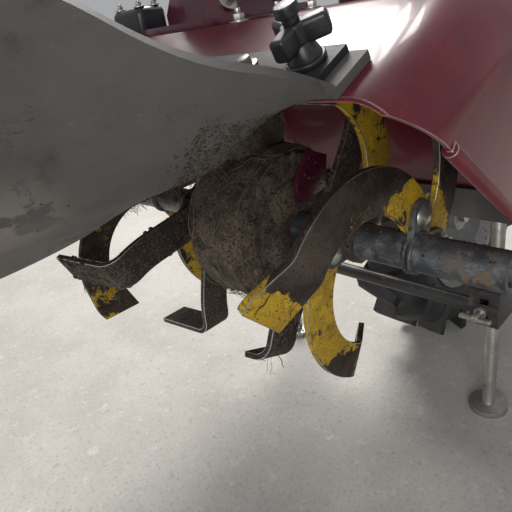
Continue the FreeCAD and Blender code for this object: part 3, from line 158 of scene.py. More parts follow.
def new_group(name, result, **numbers):
    """An empty node group with number inputs: its tree, its inputs, and the socket of its result."""
    tree = bpy.data.node_groups.new(name, "ShaderNodeTree")
    for label, value in numbers.items():
        socket = tree.interface.new_socket(name=label, in_out="INPUT", socket_type="NodeSocketFloat")
        socket.default_value = value
    tree.interface.new_socket(name=result, in_out="OUTPUT", socket_type="NodeSocketFloat")
    entry = tree.nodes.new("NodeGroupInput")
    end = tree.nodes.new("NodeGroupOutput")
    return tree, entry.outputs, end.inputs[0]


print("node helpers ready")

# %% [markdown]
# ## Wear as node groups
# Old machines share a few effects: patches where paint is gone or soil sticks, hairline
# scratches, dust on what faces up, and the fine grain of a cast or moulded skin. Each is a node
# group, built once and placed in a material with its own numbers. A group gives out only a mask
# or a height; the shader stays in the material.

# %% Group: patches
patches, entry, result = new_group("patches", "Mask", Scale=40, Cover=0.4, Soft=0.05, Seed=0)
cloud = noise(patches, object_place(patches), entry["Scale"], 6, entry["Seed"], 0.62)
edge = add_node(patches, "MapRange", {"Value": entry["Cover"], "To Min": 0.72, "To Max": 0.3}).outputs[0]
far_edge = calc(patches, "ADD", edge, entry["Soft"])
patches.links.new(soft_step(patches, cloud, edge, far_edge), result)
print("group", patches.name)

# %% Group: scratches
# Noise that is stretched along one way has long, thin contour lines. Keeping only the values next
# to one half picks out such a line, and a second noise breaks the lines up.
LINE_TURNS = (((0.4, 0.2, 0.9), (1, 40, 40)), ((1.1, 0.7, -0.5), (40, 1, 40)))
scratches, entry, result = new_group("scratches", "Mask", Scale=30, Amount=0.5, Width=0.006, Seed=0)
place = object_place(scratches)
found = None
for angles, stretch in LINE_TURNS:
    turned = add_node(scratches, "Mapping", {"Vector": place, "Rotation": angles, "Scale": stretch})
    lines = noise(scratches, turned.outputs[0], entry["Scale"], 1, entry["Seed"])
    off_line = calc(scratches, "ABSOLUTE", calc(scratches, "SUBTRACT", lines, 0.5))
    near_line = calc(scratches, "LESS_THAN", off_line, entry["Width"])
    found = near_line if found is None else calc(scratches, "MAXIMUM", found, near_line)
breaks = noise(scratches, place, 35, 3, entry["Seed"])
edge = add_node(scratches, "MapRange", {"Value": entry["Amount"], "To Min": 0.7, "To Max": 0.35}).outputs[0]
shown = soft_step(scratches, breaks, edge, calc(scratches, "ADD", edge, 0.05))
scratches.links.new(calc(scratches, "MULTIPLY", found, shown), result)
print("group", scratches.name)

# %% Group: dust
dust, entry, result = new_group("dust", "Mask", Amount=0.5, Scale=25, Seed=0)
facing = add_node(dust, "NewGeometry").outputs["Normal"]
upward = add_node(dust, "SeparateXYZ", {"Vector": facing}).outputs["Z"]
lies = soft_step(dust, upward, -0.2, 0.9)
cloud = noise(dust, object_place(dust), entry["Scale"], 5, entry["Seed"])
thick = calc(dust, "MULTIPLY", soft_step(dust, cloud, 0.3, 0.7), entry["Amount"])
dust.links.new(calc(dust, "MULTIPLY", lies, thick), result)
print("group", dust.name)

# %% Group: grain
grain, entry, result = new_group("grain", "Height", Scale=900, Seed=0)
place = object_place(grain)
fine = noise(grain, place, entry["Scale"], 2, entry["Seed"])
coarse = noise(grain, place, calc(grain, "MULTIPLY", entry["Scale"], 0.2), 3, entry["Seed"])
grain.links.new(calc(grain, "MULTIPLY", calc(grain, "ADD", fine, coarse), 0.5), result)
print("group", grain.name)

# %% [markdown]
# ## A finish in layers
# Real paint is built up in layers, and so is this one: a base colour that drifts between two
# tones, scratches, rust, soil, and dust on top. Every layer blends the colour and the
# roughness, and adds to the height that the Bump node reads. The same class makes paint,
# rubber, cast metal and plastic from different numbers.

# %% Build a finish from its layers
DRY_SOIL = (0.13, 0.098, 0.068)
WET_SOIL = (0.035, 0.026, 0.019)
BARE_STEEL = (0.42, 0.40, 0.38)
RUST = (0.11, 0.045, 0.02)
ROUGH_DRIFT = 0.24
FINE_LINE = 0.006
seeds = iter(range(1, 400))


class Layers:
    """A material whose colour, roughness, metal and height are built up layer by layer."""

    def __init__(self, name, colour, deep, rough, scale=12, metal=None):
        self.material = bpy.data.materials.new(name)
        self.material.use_nodes = True
        self.tree = self.material.node_tree
        self.shader = self.tree.nodes["Principled BSDF"]
        self.place = object_place(self.tree)
        cloud = noise(self.tree, self.place, scale, 5, next(seeds))
        self.colour = blend_colour(self.tree, soft_step(self.tree, cloud, 0.36, 0.64), colour, deep)
        drift = calc(self.tree, "MULTIPLY", cloud, ROUGH_DRIFT)
        self.rough = calc(self.tree, "ADD", drift, rough - ROUGH_DRIFT / 2)
        self.metal = metal
        self.height = None

    def over(self, mask, colour, rough, metal=None, height=0):
        """Lays a colour over what is there wherever the mask is 1."""
        self.colour = blend_colour(self.tree, mask, self.colour, colour)
        self.rough = add_node(self.tree, "Mix", {0: mask, 2: self.rough, 3: rough}).outputs[0]
        if metal is not None or self.metal is not None:
            base = 0 if self.metal is None else self.metal
            self.metal = add_node(self.tree, "Mix", {0: mask, 2: base, 3: metal or 0}).outputs[0]
        if height:
            self.raise_by(mask, height)

    def raise_by(self, mask, height):
        """Adds to the height where the mask is 1."""
        step = calc(self.tree, "MULTIPLY", mask, height)
        self.height = step if self.height is None else calc(self.tree, "ADD", self.height, step)

    def wear(self, group, **numbers):
        """What a wear group gives for these numbers and a seed of its own."""
        return add_node(self.tree, "Group", {**numbers, "Seed": next(seeds)}, node_tree=group).outputs[0]

    def spots(self, scale, cover, soft, colour, rough, metal=None, height=0, near=None):
        """Patches, all over or near a place: (place, all within so many mm, none beyond)."""
        mask = self.wear(patches, Scale=scale, Cover=cover, Soft=soft)
        if near:
            mask = calc(self.tree, "MULTIPLY", near_place(self.tree, self.place, *near), mask)
        self.over(mask, colour, rough, metal, height)

    def hairlines(self, scale, amount, width, colour, rough, metal=None):
        """Thin scratches that run two ways."""
        self.over(self.wear(scratches, Scale=scale, Amount=amount, Width=width), colour, rough, metal)

    def settle(self, amount, colour, rough, metal=None, scale=25):
        """Dust on what faces up."""
        self.over(self.wear(dust, Amount=amount, Scale=scale), colour, rough, metal)

    def grain(self, scale, height):
        """The fine grain of the skin, as height alone."""
        self.raise_by(self.wear(grain, Scale=scale), height)

    def done(self, depth=0.6, **fixed):
        """Links the layers to the shader; depth is the bump's height in mm where the sum is 1."""
        bump = None
        if self.height is not None:
            bump = add_node(self.tree, "Bump", {"Height": self.height, "Distance": depth * MM,
                                                "Strength": 1}).outputs["Normal"]
        for name, value in (("Base Color", self.colour), ("Roughness", self.rough),
                            ("Metallic", self.metal), ("Normal", bump)):
            if value is not None:
                self.tree.links.new(value, self.shader.inputs[name])
        for name, value in fixed.items():
            self.shader.inputs[name.replace("_", " ")].default_value = value
        return self.material


print("layers ready")


# %% Paint, plastic, rubber and metal
def paint(name, colour, deep, rough, coat, soil, chips, dusting=0.3):
    """Glossy paint with hairlines, chips gone to rust, splashed soil and dust."""
    skin = Layers(name, colour, deep, rough)
    skin.grain(260, 0.05)
    lighter = tuple(min(value * 2 + 0.015, 1) for value in colour)
    skin.hairlines(26, 0.45, FINE_LINE, lighter, rough + 0.2)
    skin.spots(150, chips, 0.02, RUST, 0.8, 0.1, -0.15)
    skin.spots(70, soil, 0.12, DRY_SOIL, 0.93, 0, 0.3)
    skin.settle(dusting, (0.24, 0.21, 0.17), 0.9)
    return skin.done(0.5, Coat_Weight=coat, Coat_Roughness=0.08)


def worn_metal(name, colour, deep, rough=0.42, soil=0.3, rust=0.25, dusting=0.2):
    """Metal rubbed bright in places, with rust, scratches and soil in the rest."""
    skin = Layers(name, colour, deep, rough, metal=0.85)
    skin.grain(500, 0.12)
    skin.hairlines(40, 0.6, 0.01, tuple(value * 1.8 for value in colour), 0.3, 0.9)
    skin.spots(60, rust, 0.08, RUST, 0.85, 0.05, 0.1)
    skin.spots(45, soil, 0.12, DRY_SOIL, 0.95, 0, 0.35)
    skin.settle(dusting, (0.2, 0.17, 0.13), 0.9, 0)
    return skin.done(0.5)


def moulded(name, colour, deep, rough, soil, dusting, scale=700):
    """Moulded plastic or rubber with a fine grain, scuffs and dust."""
    skin = Layers(name, colour, deep, rough)
    skin.grain(scale, 0.25)
    skin.hairlines(34, 0.4, FINE_LINE, tuple(value * 2 + 0.03 for value in colour), rough + 0.15)
    skin.spots(60, soil, 0.1, DRY_SOIL, 0.95, None, 0.3)
    skin.settle(dusting, (0.2, 0.18, 0.15), 0.92)
    return skin.done(0.3)


# name, colour, darker tone, roughness, then for paint: coat, soil, chips, dust
dark_red = paint("dark_red_paint", (0.17, 0.008, 0.022), (0.11, 0.006, 0.016), 0.32, 0.28, 0.16, 0.07, 0.07)
cast_red = paint("dark_red_casting", (0.1, 0.009, 0.03), (0.065, 0.006, 0.02), 0.3, 0.5, 0.2, 0.12, 0.12)
black_paint = paint("black_paint", (0.02, 0.021, 0.024), (0.035, 0.035, 0.036), 0.45, 0.1, 0.3, 0.3, 0.15)
strip_black = paint("strip_black", (0.012, 0.013, 0.016), (0.02, 0.02, 0.022), 0.6, 0, 0.2, 0.2, 0.05)
grey_paint = paint("grey_paint", (0.3, 0.3, 0.29), (0.24, 0.24, 0.24), 0.4, 0.2, 0.35, 0.25)
tank_red = paint("tank_red", (0.16, 0.012, 0.02), (0.12, 0.01, 0.018), 0.28, 0.5, 0.05, 0.02)
# for metal: roughness, soil, rust, dust
bare_steel = worn_metal("bare_steel", BARE_STEEL, (0.3, 0.28, 0.26))
zinc = worn_metal("zinc_plate", (0.5, 0.49, 0.45), (0.34, 0.32, 0.28), 0.35, 0.25, 0.2)
die_cast = worn_metal("die_cast", (0.38, 0.38, 0.38), (0.3, 0.3, 0.3), 0.5, 0.2, 0.02, 0.35)
dull_steel = worn_metal("heat_dulled_steel", (0.1, 0.09, 0.085), (0.07, 0.05, 0.04), 0.6, 0.2, 0.5)
# for plastic and rubber: roughness, soil, dust, scale of the grain
black_plastic = moulded("black_plastic", (0.012, 0.013, 0.016), (0.02, 0.02, 0.023), 0.3, 0.08, 0.25)
soft_rubber = moulded("soft_black_rubber", (0.02, 0.02, 0.02), (0.03, 0.03, 0.03), 0.7, 0.1, 0.3, 400)
print("finishes:", len(bpy.data.materials))

# %% [markdown]
# ## Floor and light
# The machine stands on a pale concrete floor. A large soft lamp stands high in front of the
# machine on its left, so that light falls towards the viewer over the hood's top; a weaker one
# beside the viewer opens up the shadows. The world adds an even grey.

# %% Floor
floor_form = bmesh.new()
bmesh.ops.create_grid(floor_form, x_segments=1, y_segments=1, size=6)
floor_mesh = bpy.data.meshes.new("floor")
floor_form.to_mesh(floor_mesh)
floor_form.free()
floor = bpy.data.objects.new("floor", floor_mesh)
scene.collection.objects.link(floor)
concrete = Layers("pale_concrete", (0.72, 0.69, 0.64), (0.62, 0.595, 0.55), 0.8, 6)
concrete.grain(120, 0.4)
concrete.spots(9, 0.4, 0.3, (0.6, 0.57, 0.53), 0.85)
concrete.spots(55, 0.42, 0.15, (0.8, 0.78, 0.74), 0.85, None, 0.3)
concrete.spots(75, 0.45, 0.25, (0.5, 0.47, 0.43), 0.9, None, -0.4)
concrete.spots(210, 0.5, 0.25, (0.4, 0.37, 0.34), 0.9, None, -0.4)
floor_mesh.materials.append(concrete.done(0.4))
print("floor", [round(size, 2) for size in floor.dimensions])


# %% Lamps and world
def add_lamp(name, spot, target, size, watts, colour):
    """A soft square lamp at a place, turned to a target; both in metres."""
    data = bpy.data.lights.new(name, "AREA")
    data.size = size
    data.energy = watts
    data.color = colour
    thing = bpy.data.objects.new(name, data)
    scene.collection.objects.link(thing)
    thing.location = spot
    thing.rotation_euler = (Vector(target) - Vector(spot)).to_track_quat("-Z", "Y").to_euler()


LAMP_TARGET = (0.05, -0.1, 0.35)
LIT, SEEN_BRIGHT = 0.2, 0.4
add_lamp("key", (-1.5, 1.5, 2.5), LAMP_TARGET, 1.5, 100, (1, 0.985, 0.96))
add_lamp("fill", (1.3, -1.9, 0.9), LAMP_TARGET, 1.2, 22, (0.95, 0.97, 1))
world = bpy.data.worlds.new("studio")
world.use_nodes = True
tree = world.node_tree
seen = add_node(tree, "LightPath").outputs
shown = calc(tree, "MAXIMUM", calc(tree, "MAXIMUM", seen["Is Camera Ray"], seen["Is Glossy Ray"]),
             seen["Is Transmission Ray"])
strength = add_node(tree, "MapRange", {"Value": shown, "To Min": LIT, "To Max": SEEN_BRIGHT}).outputs[0]
backdrop = tree.nodes["Background"]
backdrop.inputs["Color"].default_value = (0.96, 0.98, 1, 1)
tree.links.new(strength, backdrop.inputs["Strength"])
scene.world = world
scene.view_settings.view_transform = "Standard"

# %% [markdown]
# ## The rubber flap
# The flap is a sheet of grey rubber, matt and a little chalky, with long pale scuffs where it has
# dragged and a dried splash of mud near its free edge. The mask that fades with the distance from
# one place puts the splash there; soil gathers in the fold on the right, where the blades throw it.

# %% Finish: flap rubber
CHALK = (0.15, 0.142, 0.13)
MUD_SPLASH, RIGHT_FOLD = at(165, -288, 142), at(182, -183, 138)
FOLD_GRIT, LOW_FOLD = at(180, -188, 134), at(110, -195, 112)


def flap_rubber():
    """Chalky grey rubber with scuffs, a splash of mud and soil in its fold."""
    skin = Layers("flap_rubber", (0.12, 0.115, 0.106), (0.075, 0.071, 0.067), 0.62, 9)
    skin.grain(420, 0.3)
    skin.spots(16, 0.5, 0.2, CHALK, 0.74)
    skin.spots(44, 0.4, 0.2, (0.045, 0.041, 0.037), 0.6)
    skin.spots(230, 0.36, 0.25, CHALK, 0.8)
    skin.hairlines(8, 0.3, 0.004, (0.165, 0.16, 0.15), 0.72)
    skin.hairlines(12, 0.35, 0.004, (0.035, 0.034, 0.034), 0.55)
    skin.spots(60, 0.62, 0.06, (0.24, 0.215, 0.185), 0.95, None, 0.5, (MUD_SPLASH, 8, 42))
    skin.spots(110, 0.62, 0.5, (0.085, 0.07, 0.054), 0.95, None, 0.4, (RIGHT_FOLD, 18, 62))
    skin.spots(380, 0.42, 0.3, (0.07, 0.055, 0.042), 0.95, None, 0.3, (FOLD_GRIT, 12, 70))
    skin.spots(90, 0.55, 0.15, (0.05, 0.038, 0.028), 0.97, None, 0.5, (LOW_FOLD, 30, 90))
    skin.spots(200, 0.1, 0.06, DRY_SOIL, 0.95, None, 0.3)
    return skin.done(0.7)


rubber_sheet = flap_rubber()
print("finish", rubber_sheet.name)

# %% [markdown]
# ## Yellow blades that are worn through
# New blades come painted yellow. Work rubs the paint off the arm and leaves it near the bolt and
# on the folded tip; what is bare turns dark and brown, and the edges are ground bright. The
# distance from the rotor's axis tells root from arm, and the distance from the blade's own plane
# tells the folded tip, so a few numbers give each pair of blades its own state of wear.

# %% Finish: blades
# distances in mm over which one stretch of a blade turns into the next
ROOT_END, FOLD_START, ARM_CHANGE = (52, 74), (9, 16), (100, 140)


def blade_finish(name, plane, root, tip, arm, far_arm, soil):
    """Paint left on a blade: shares from 0 to 1 at its root, folded tip, inner arm and outer arm."""
    skin = Layers(name, (0.13, 0.1, 0.08), (0.05, 0.036, 0.028), 0.46, 30, 0.7)
    tree = skin.tree
    skin.grain(380, 0.2)
    skin.hairlines(36, 0.45, FINE_LINE, (0.22, 0.2, 0.18), 0.35, 0.9)
    skin.spots(55, 0.4, 0.2, (0.075, 0.05, 0.035), 0.7, 0.2)
    split = add_node(tree, "SeparateXYZ", {"Vector": skin.place}).outputs
    flat_place = add_node(tree, "CombineXYZ", {"Y": split["Y"], "Z": split["Z"]}).outputs[0]
    axis = (0, rotor_mid.y, rotor_mid.z)
    reach = add_node(tree, "VectorMath", {0: flat_place, 1: axis}, operation="DISTANCE").outputs["Value"]
    at_root = calc(tree, "SUBTRACT", 1, soft_step(tree, reach, *(size * MM for size in ROOT_END)))
    off_plane = calc(tree, "ABSOLUTE", calc(tree, "SUBTRACT", split["X"], plane * MM))
    at_tip = soft_step(tree, off_plane, *(size * MM for size in FOLD_START))
    left = calc(tree, "MAXIMUM", calc(tree, "MULTIPLY", at_root, root), calc(tree, "MULTIPLY", at_tip, tip))
    outer = soft_step(tree, reach, *(size * MM for size in ARM_CHANGE))
    along = add_node(tree, "Mix", {0: outer, 2: arm, 3: far_arm}).outputs[0]
    left = calc(tree, "MAXIMUM", left, along)
    cloud = soft_step(tree, noise(tree, skin.place, 36, 8, next(seeds), 0.72), 0.3, 0.7)
    painted = soft_step(tree, calc(tree, "SUBTRACT", left, cloud), -0.02, 0.05)
    drift = noise(tree, skin.place, 60, 3, next(seeds))
    skin.over(painted, blend_colour(tree, drift, (0.8, 0.52, 0.012), (0.62, 0.36, 0.01)), 0.5, 0, 0.25)
    scuffs = calc(tree, "MULTIPLY", skin.wear(scratches, Scale=60, Amount=0.75, Width=0.02), painted)
    skin.over(scuffs, (0.16, 0.11, 0.04), 0.6, 0.2)
    skin.spots(34, soil, 0.2, (0.06, 0.043, 0.031), 0.92, 0, 0.5)
    skin.spots(80, soil * 0.8, 0.12, DRY_SOIL, 0.96, 0, 0.5)
    skin.spots(420, soil, 0.1, (0.028, 0.02, 0.016), 0.9, 0, -0.3)
    skin.spots(480, soil * 0.7, 0.08, (0.17, 0.13, 0.095), 0.96, 0, 0.3)
    return skin.done(0.9)


ground_edge = worn_metal("ground_edge", (0.6, 0.59, 0.57), (0.35, 0.33, 0.31), 0.24, 0.1, 0.12, 0)
print("finish", ground_edge.name)

# %% [markdown]
# ## Soil on the gear case
# The gear case sits where all the soil goes, so hardly any metal shows. Its finish turns the
# layers round: soil is the base, in two tones with a rough height, and a few rubbed places let
# the casting through.

# %% Finish: soil-covered casting, worn tube and tyre
RUSTY_END = at(228, -14, 4)


def caked_casting(name, bare):
    """Two tones of rough soil, with a share of bare casting."""
    skin = Layers(name, (0.16, 0.12, 0.088), (0.05, 0.036, 0.026), 0.92, 34)
    skin.grain(160, 0.7)
    skin.grain(520, 0.4)
    skin.spots(28, 0.45, 0.25, (0.22, 0.172, 0.13), 0.97, None, 0.8)
    skin.spots(75, 0.4, 0.15, (0.02, 0.015, 0.012), 0.9, None, -0.5)
    skin.spots(430, 0.5, 0.12, (0.03, 0.022, 0.017), 0.9, None, -0.5)
    skin.spots(520, 0.3, 0.08, (0.3, 0.24, 0.18), 0.97, None, 0.4)
    skin.spots(50, bare, 0.06, (0.05, 0.047, 0.045), 0.5, 0.6, -0.4)
    return skin.done(1.3)


def worn_tube():
    """Blue-black tube, rubbed grey, with rust and soil near its end."""
    skin = Layers("worn_tube", (0.055, 0.062, 0.07), (0.02, 0.022, 0.028), 0.38, 22)
    skin.grain(420, 0.15)
    skin.spots(48, 0.55, 0.2, (0.2, 0.205, 0.21), 0.45, 0.4)
    skin.spots(90, 0.4, 0.1, (0.035, 0.037, 0.042), 0.5, 0.2)
    skin.hairlines(34, 0.5, 0.005, (0.36, 0.36, 0.35), 0.35, 0.7)
    skin.spots(80, 0.55, 0.08, (0.17, 0.12, 0.085), 0.9, 0, 0.35, (RUSTY_END, 8, 34))
    skin.spots(110, 0.25, 0.08, DRY_SOIL, 0.95, 0, 0.4)
    skin.settle(0.35, (0.2, 0.19, 0.17), 0.85, 0)
    return skin.done(0.6)


def tyre_rubber():
    """Black rubber, scuffed and dusty."""
    skin = Layers("tyre_rubber", (0.018, 0.018, 0.019), (0.028, 0.028, 0.029), 0.66, 14)
    skin.grain(300, 0.3)
    skin.hairlines(24, 0.5, 0.01, (0.06, 0.06, 0.06), 0.8)
    skin.spots(26, 0.36, 0.2, (0.075, 0.066, 0.056), 0.95, None, 0.3)
    skin.settle(0.5, (0.16, 0.145, 0.125), 0.95, scale=18)
    return skin.done(0.6)


caked = caked_casting("caked_casting", 0.2)
clod_soil = caked_casting("clod_soil", 0)
dark_crumbs = Layers("dark_crumbs", (0.075, 0.055, 0.038), (0.035, 0.025, 0.018), 0.95, 200).done()
tube_black = worn_tube()
tyre_black = tyre_rubber()
print("finishes:", len(bpy.data.materials))

# %% [markdown]
# ## Light on the solids
# A solid arrives as loose triangles, which a renderer shades flat. Three modifiers fix that
# without touching the mesh: Weld joins the triangles, Bevel rounds the sharp edges so that they
# catch light, and Edge Split keeps real corners crisp while the rest is shaded smooth. Bevel can
# also give its faces another material, which is how the blades get their bright ground edges and
# the hood its pale rim: partly rubbed paint, partly a painted highlight along the rolled lip.

# %% Soften a solid and give it its finish
def dress(node, finishes, rounding, rim=-1):
    """Shades a solid smooth with corners rounded by so many mm; rim is the finish of the corners."""
    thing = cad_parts[node]
    thing.data.materials.clear()
    for finish in finishes:
        thing.data.materials.append(finish)
    for face in thing.data.polygons:
        face.use_smooth = True
        face.material_index = 0
    weld = thing.modifiers.new("weld", "WELD")
    weld.merge_threshold = 0.01 * MM
    if rounding:
        bevel = thing.modifiers.new("edges", "BEVEL")
        bevel.width = rounding * MM
        bevel.segments = 2
        bevel.limit_method = "ANGLE"
        bevel.angle_limit = math.radians(40)
        bevel.material = rim
        bevel.use_clamp_overlap = True
    corners = thing.modifiers.new("corners", "EDGE_SPLIT")
    corners.split_angle = math.radians(32)


# finish, then the solids that it covers, each with the rounding of its edges in mm
DRESSING = (
    (cast_red, {"case_guard": 0.5, "drive_case": 1.2, "drive_tube": 1, "column_head": 2,
                "handle_clamp": 1.5}),
    (dark_red, {"belt_cover": 1.5}), (tank_red, {"fuel_tank": 1}), (caked, {"tine_case": 0.8}),
    (tube_black, {"rotor_tube_left": 0.5, "rotor_tube_right": 0.5}), (tyre_black, {"tyre": 1.5}),
    (zinc, {"blade_bolts_left": 0.3, "blade_bolts_right": 0.3}), (rubber_sheet, {"front_skirt": 0.6}),
    (bare_steel, {"rotor_shaft": 0.4, "axle_shaft": 0.8, "stand_leg_left": 0.8, "stand_leg_right": 0.8,
                  "clutch_lever": 0.6}),
    (strip_black, {"flap_strip": 0.5}), (grey_paint, {"wheel_rim": 0.5}), (dull_steel, {"silencer": 0.8}),
    (black_paint, {"engine_bed": 0.8, "front_guard": 0, "stand_bar": 0.6, "handlebar": 0,
                   "shift_lever": 0.4}),
    (die_cast, {"crankcase": 1.2, "cylinder": 0.5}), (soft_rubber, {"grip_left": 0.8, "grip_right": 0.8}),
    (black_plastic, {"latch_box": 0.6, "recoil_cover": 1, "fuel_cap": 1, "air_cleaner": 1,
                     "shift_knob": 0.4}),
)
for finish, solids in DRESSING:
    for node, rounding in solids.items():
        dress(node, (finish,), rounding)

# node, place of the blade's plane, paint left at root, tip, inner and outer arm, soil
BLADE_WEAR = (
    ("blades_outer_right", 174, 0.8, 0.95, 0.14, 0.08, 0.4),
    ("blades_middle_right", 112, 0.8, 0.1, 0.78, 0.16, 0.36),
    ("blades_inner_right", 80, 0.1, 0.1, 0.02, 0.02, 0.7),
    ("blades_inner_left", -62, 0.05, 0.05, 0.02, 0.02, 0.62),
    ("blades_middle_left", -112, 0.75, 0.6, 0.6, 0.3, 0.4),
    ("blades_outer_left", -174, 0.5, 0.4, 0.25, 0.12, 0.5),
)
for node, *wear in BLADE_WEAR:
    dress(node, (blade_finish(node + "_paint", *wear), ground_edge), 1.1, 1)
# the hood's bevels get pale pinkish metal: partly rubbed paint, partly a painted highlight along the rolled
# lip
rubbed_rim_and_highlight = worn_metal("rubbed_rim_and_highlight", (0.46, 0.36, 0.34), (0.3, 0.1, 0.1), 0.4, 0.3, 0.35, 0)
dress("hood", (dark_red, rubbed_rim_and_highlight), 0.8, 1)
plain = [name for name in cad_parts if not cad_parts[name].modifiers]
print("dressed solids:", len(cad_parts) - len(plain), "left plain:", plain)

# %% [markdown]
# ## Making small pieces
# Bolts, weld beads and rings are made with bmesh operators, each placed by a matrix that turns
# its own Z along a given way. `end_piece` closes such a form: it turns all faces outwards, marks
# sharp edges, and lets the piece ride on the body that carries it.

# %% Helpers for small pieces
def aim(spot, way):
    """A matrix that puts a form at a place, with its Z along a way."""
    return Matrix.Translation(spot) @ Vector(way).normalized().to_track_quat("Z", "Y").to_matrix().to_4x4()


def end_piece(name, form, body, finish, sharp=34):
    """Makes a piece of a bmesh and lets it ride on a body."""
    bmesh.ops.recalc_face_normals(form, faces=form.faces)
    for face in form.faces:
        face.smooth = True
    for edge in form.edges:
        edge.smooth = len(edge.link_faces) != 2 or edge.calc_face_angle(0) < math.radians(sharp)
    mesh = bpy.data.meshes.new(name)
    form.to_mesh(mesh)
    form.free()
    return place_piece(name, mesh, body, finish)


def place_piece(name, mesh, body, finish):
    """Puts a mesh in the scene as one piece that rides on a body."""
    mesh.materials.append(finish)
    thing = bpy.data.objects.new(name, mesh)
    scene.collection.objects.link(thing)
    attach(thing, body)
    print("piece", name, "faces", len(mesh.polygons))
    return thing


def round_edges(form, made, width, steps, caps_only=False):
    """Bevels the edges of new points, all of them or only those round a cap; width in mm."""
    edges = {edge for vert in made for edge in vert.link_edges
             if not caps_only or any(len(face.verts) > 4 for face in edge.link_faces)}
    bmesh.ops.bevel(form, geom=list(edges), offset=width * MM, segments=steps, profile=0.5,
                    affect="EDGES", material=-1)


def add_block(form, seat, sizes, width, steps=4):
    """A block centred on a seat, with bevelled edges; its sizes and the bevel in mm."""
    block = seat @ Matrix.Diagonal((*(size * MM for size in sizes), 1))
    round_edges(form, bmesh.ops.create_cube(form, size=1, matrix=block)["verts"], width, steps)


def add_cone(form, seat, foot, top, high, sides, edge, steps=2):
    """A round or many-sided block on a seat, with bevelled rims; radii, height and bevel in mm."""
    middle = seat @ Matrix.Translation((0, 0, high * MM / 2))
    made = bmesh.ops.create_cone(form, cap_ends=True, segments=sides, radius1=foot * MM, radius2=top * MM,
                                 depth=high * MM, matrix=middle)["verts"]
    round_edges(form, made, edge, steps, True)


def add_stack(form, spot, way, discs):
    """Discs on a place, as rows of height above it, radius, own height, sides and bevel, in mm."""
    for low, radius, high, sides, edge in discs:
        add_cone(form, aim(spot + Vector(way) * low * MM, way), radius, radius, high, sides, edge)


# a bolt's radii, head and bevel as shares of its width across flats, and its washer in mm
WASHER_RADIUS, HEAD_RADIUS, STUD_RADIUS, HEAD_HIGH, HEAD_BEVEL = 0.95, 0.577, 0.3, 0.6, 0.05
WASHER_HIGH = 1.2


def add_hex_bolt(form, spot, way, across, washer=True, stud=0):
    """A hexagon head on a washer; stud is the length of thread that stands out of a nut."""
    lift = WASHER_HIGH if washer else 0
    rows = [(0, across * WASHER_RADIUS, lift, 20, 0.25)] if washer else []
    rows.append((lift, across * HEAD_RADIUS, across * HEAD_HIGH, 6, across * HEAD_BEVEL))
    if stud:
        rows.append((lift + across * HEAD_HIGH, across * STUD_RADIUS, stud, 12, 0.4))
    add_stack(form, spot, way, rows)


def any_way(dice, most):
    """A random step of up to so much along each axis."""
    return Vector([dice.uniform(-most, most) for _ in range(3)])


def any_place(dice, low, high):
    """A random place in a box whose corners are in mm."""
    return at(*(dice.uniform(low[axis], high[axis]) for axis in range(3)))


def add_ring(form, spot, way, radius, thick, steps):
    """A round ring, by spinning a small circle about the way through the spot; sizes in mm."""
    way = Vector(way).normalized()
    side = way.orthogonal().normalized()
    circle = bmesh.ops.create_circle(form, cap_ends=False, segments=8, radius=thick * MM / 2,
                                     matrix=aim(spot + side * radius * MM, way.cross(side)))["verts"]
    rim = list({edge for vert in circle for edge in vert.link_edges})
    bmesh.ops.spin(form, geom=circle + rim, cent=spot, axis=way, angle=math.tau,
                   steps=steps, use_merge=True, use_duplicate=False)


print("piece helpers ready")

# %% [markdown]
# ## Bolts that find their own seat
# A bolt drawn at typed coordinates floats or sinks as soon as a part changes. Here each bolt is
# dropped instead: a ray goes from a start towards the part, and where it meets the solid it gives
# the place and the way that the face looks, which is also the bolt's own way.

# %% Drop a place onto a solid
LEFT, BACK, DOWN = (-1, 0, 0), (0, -1, 0), (0, 0, -1)
RIGHT, AHEAD, UP = (1, 0, 0), (0, 1, 0), (0, 0, 1)
SQUARE_ON, NEARLY_FLAT = 0.6, 0.8
shells = {}


def solid_shell(node):
    """The faces of a solid, sorted so that a ray finds them fast."""
    if node not in shells:
        form = bmesh.new()
        form.from_mesh(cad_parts[node].data)
        shells[node] = BVHTree.FromBMesh(form)
        form.free()
    return shells[node]


def landing(node, start, way):
    """Where a ray meets a solid, and the way that its face looks there."""
    return solid_shell(node).ray_cast(start, Vector(way).normalized())[:2]


def ring_places(middle, way, radius, count, first):
    """Places on a circle about a middle in mm; the way is X or Y."""
    places = []
    for index in range(count):
        angle = math.radians(first + 360 * index / count)
        across, up = radius * math.cos(angle), radius * math.sin(angle)
        side = (0, across, up) if way == "X" else (across, 0, up)
        places.append(tuple(value + shift for value, shift in zip(middle, side)))
    return places


# places in mm from the rotor's axis
WHEEL_AXIS = (378, -135)
DRIVE_AXIS_UP = 247
CRANK = (546, 158)
STRIP_BACK = -141
COLUMN_SPOTS = ((-30, 206), (30, 206), (-10, 262), (26, 290))
SKIRT_ROW = (-200, -100, 0, 100, 200)
leg_rows = [(-140, WHEEL_AXIS[0] + side, height) for side in (-34, 34) for height in (-90, -20, 50, 120)]
recoil_ring = ring_places((200, *CRANK), "X", 88, 6, 15)
flange_ring = ring_places((0, 200, DRIVE_AXIS_UP), "Y", 43, 6, 0)
back_ring = ring_places((0, 90, DRIVE_AXIS_UP), "Y", 40, 6, 30)
cover_rows = [(-160, 340, 240), (-160, 380, 276), (-160, 560, 110), (-160, 600, 150), (-160, 470, 215)]

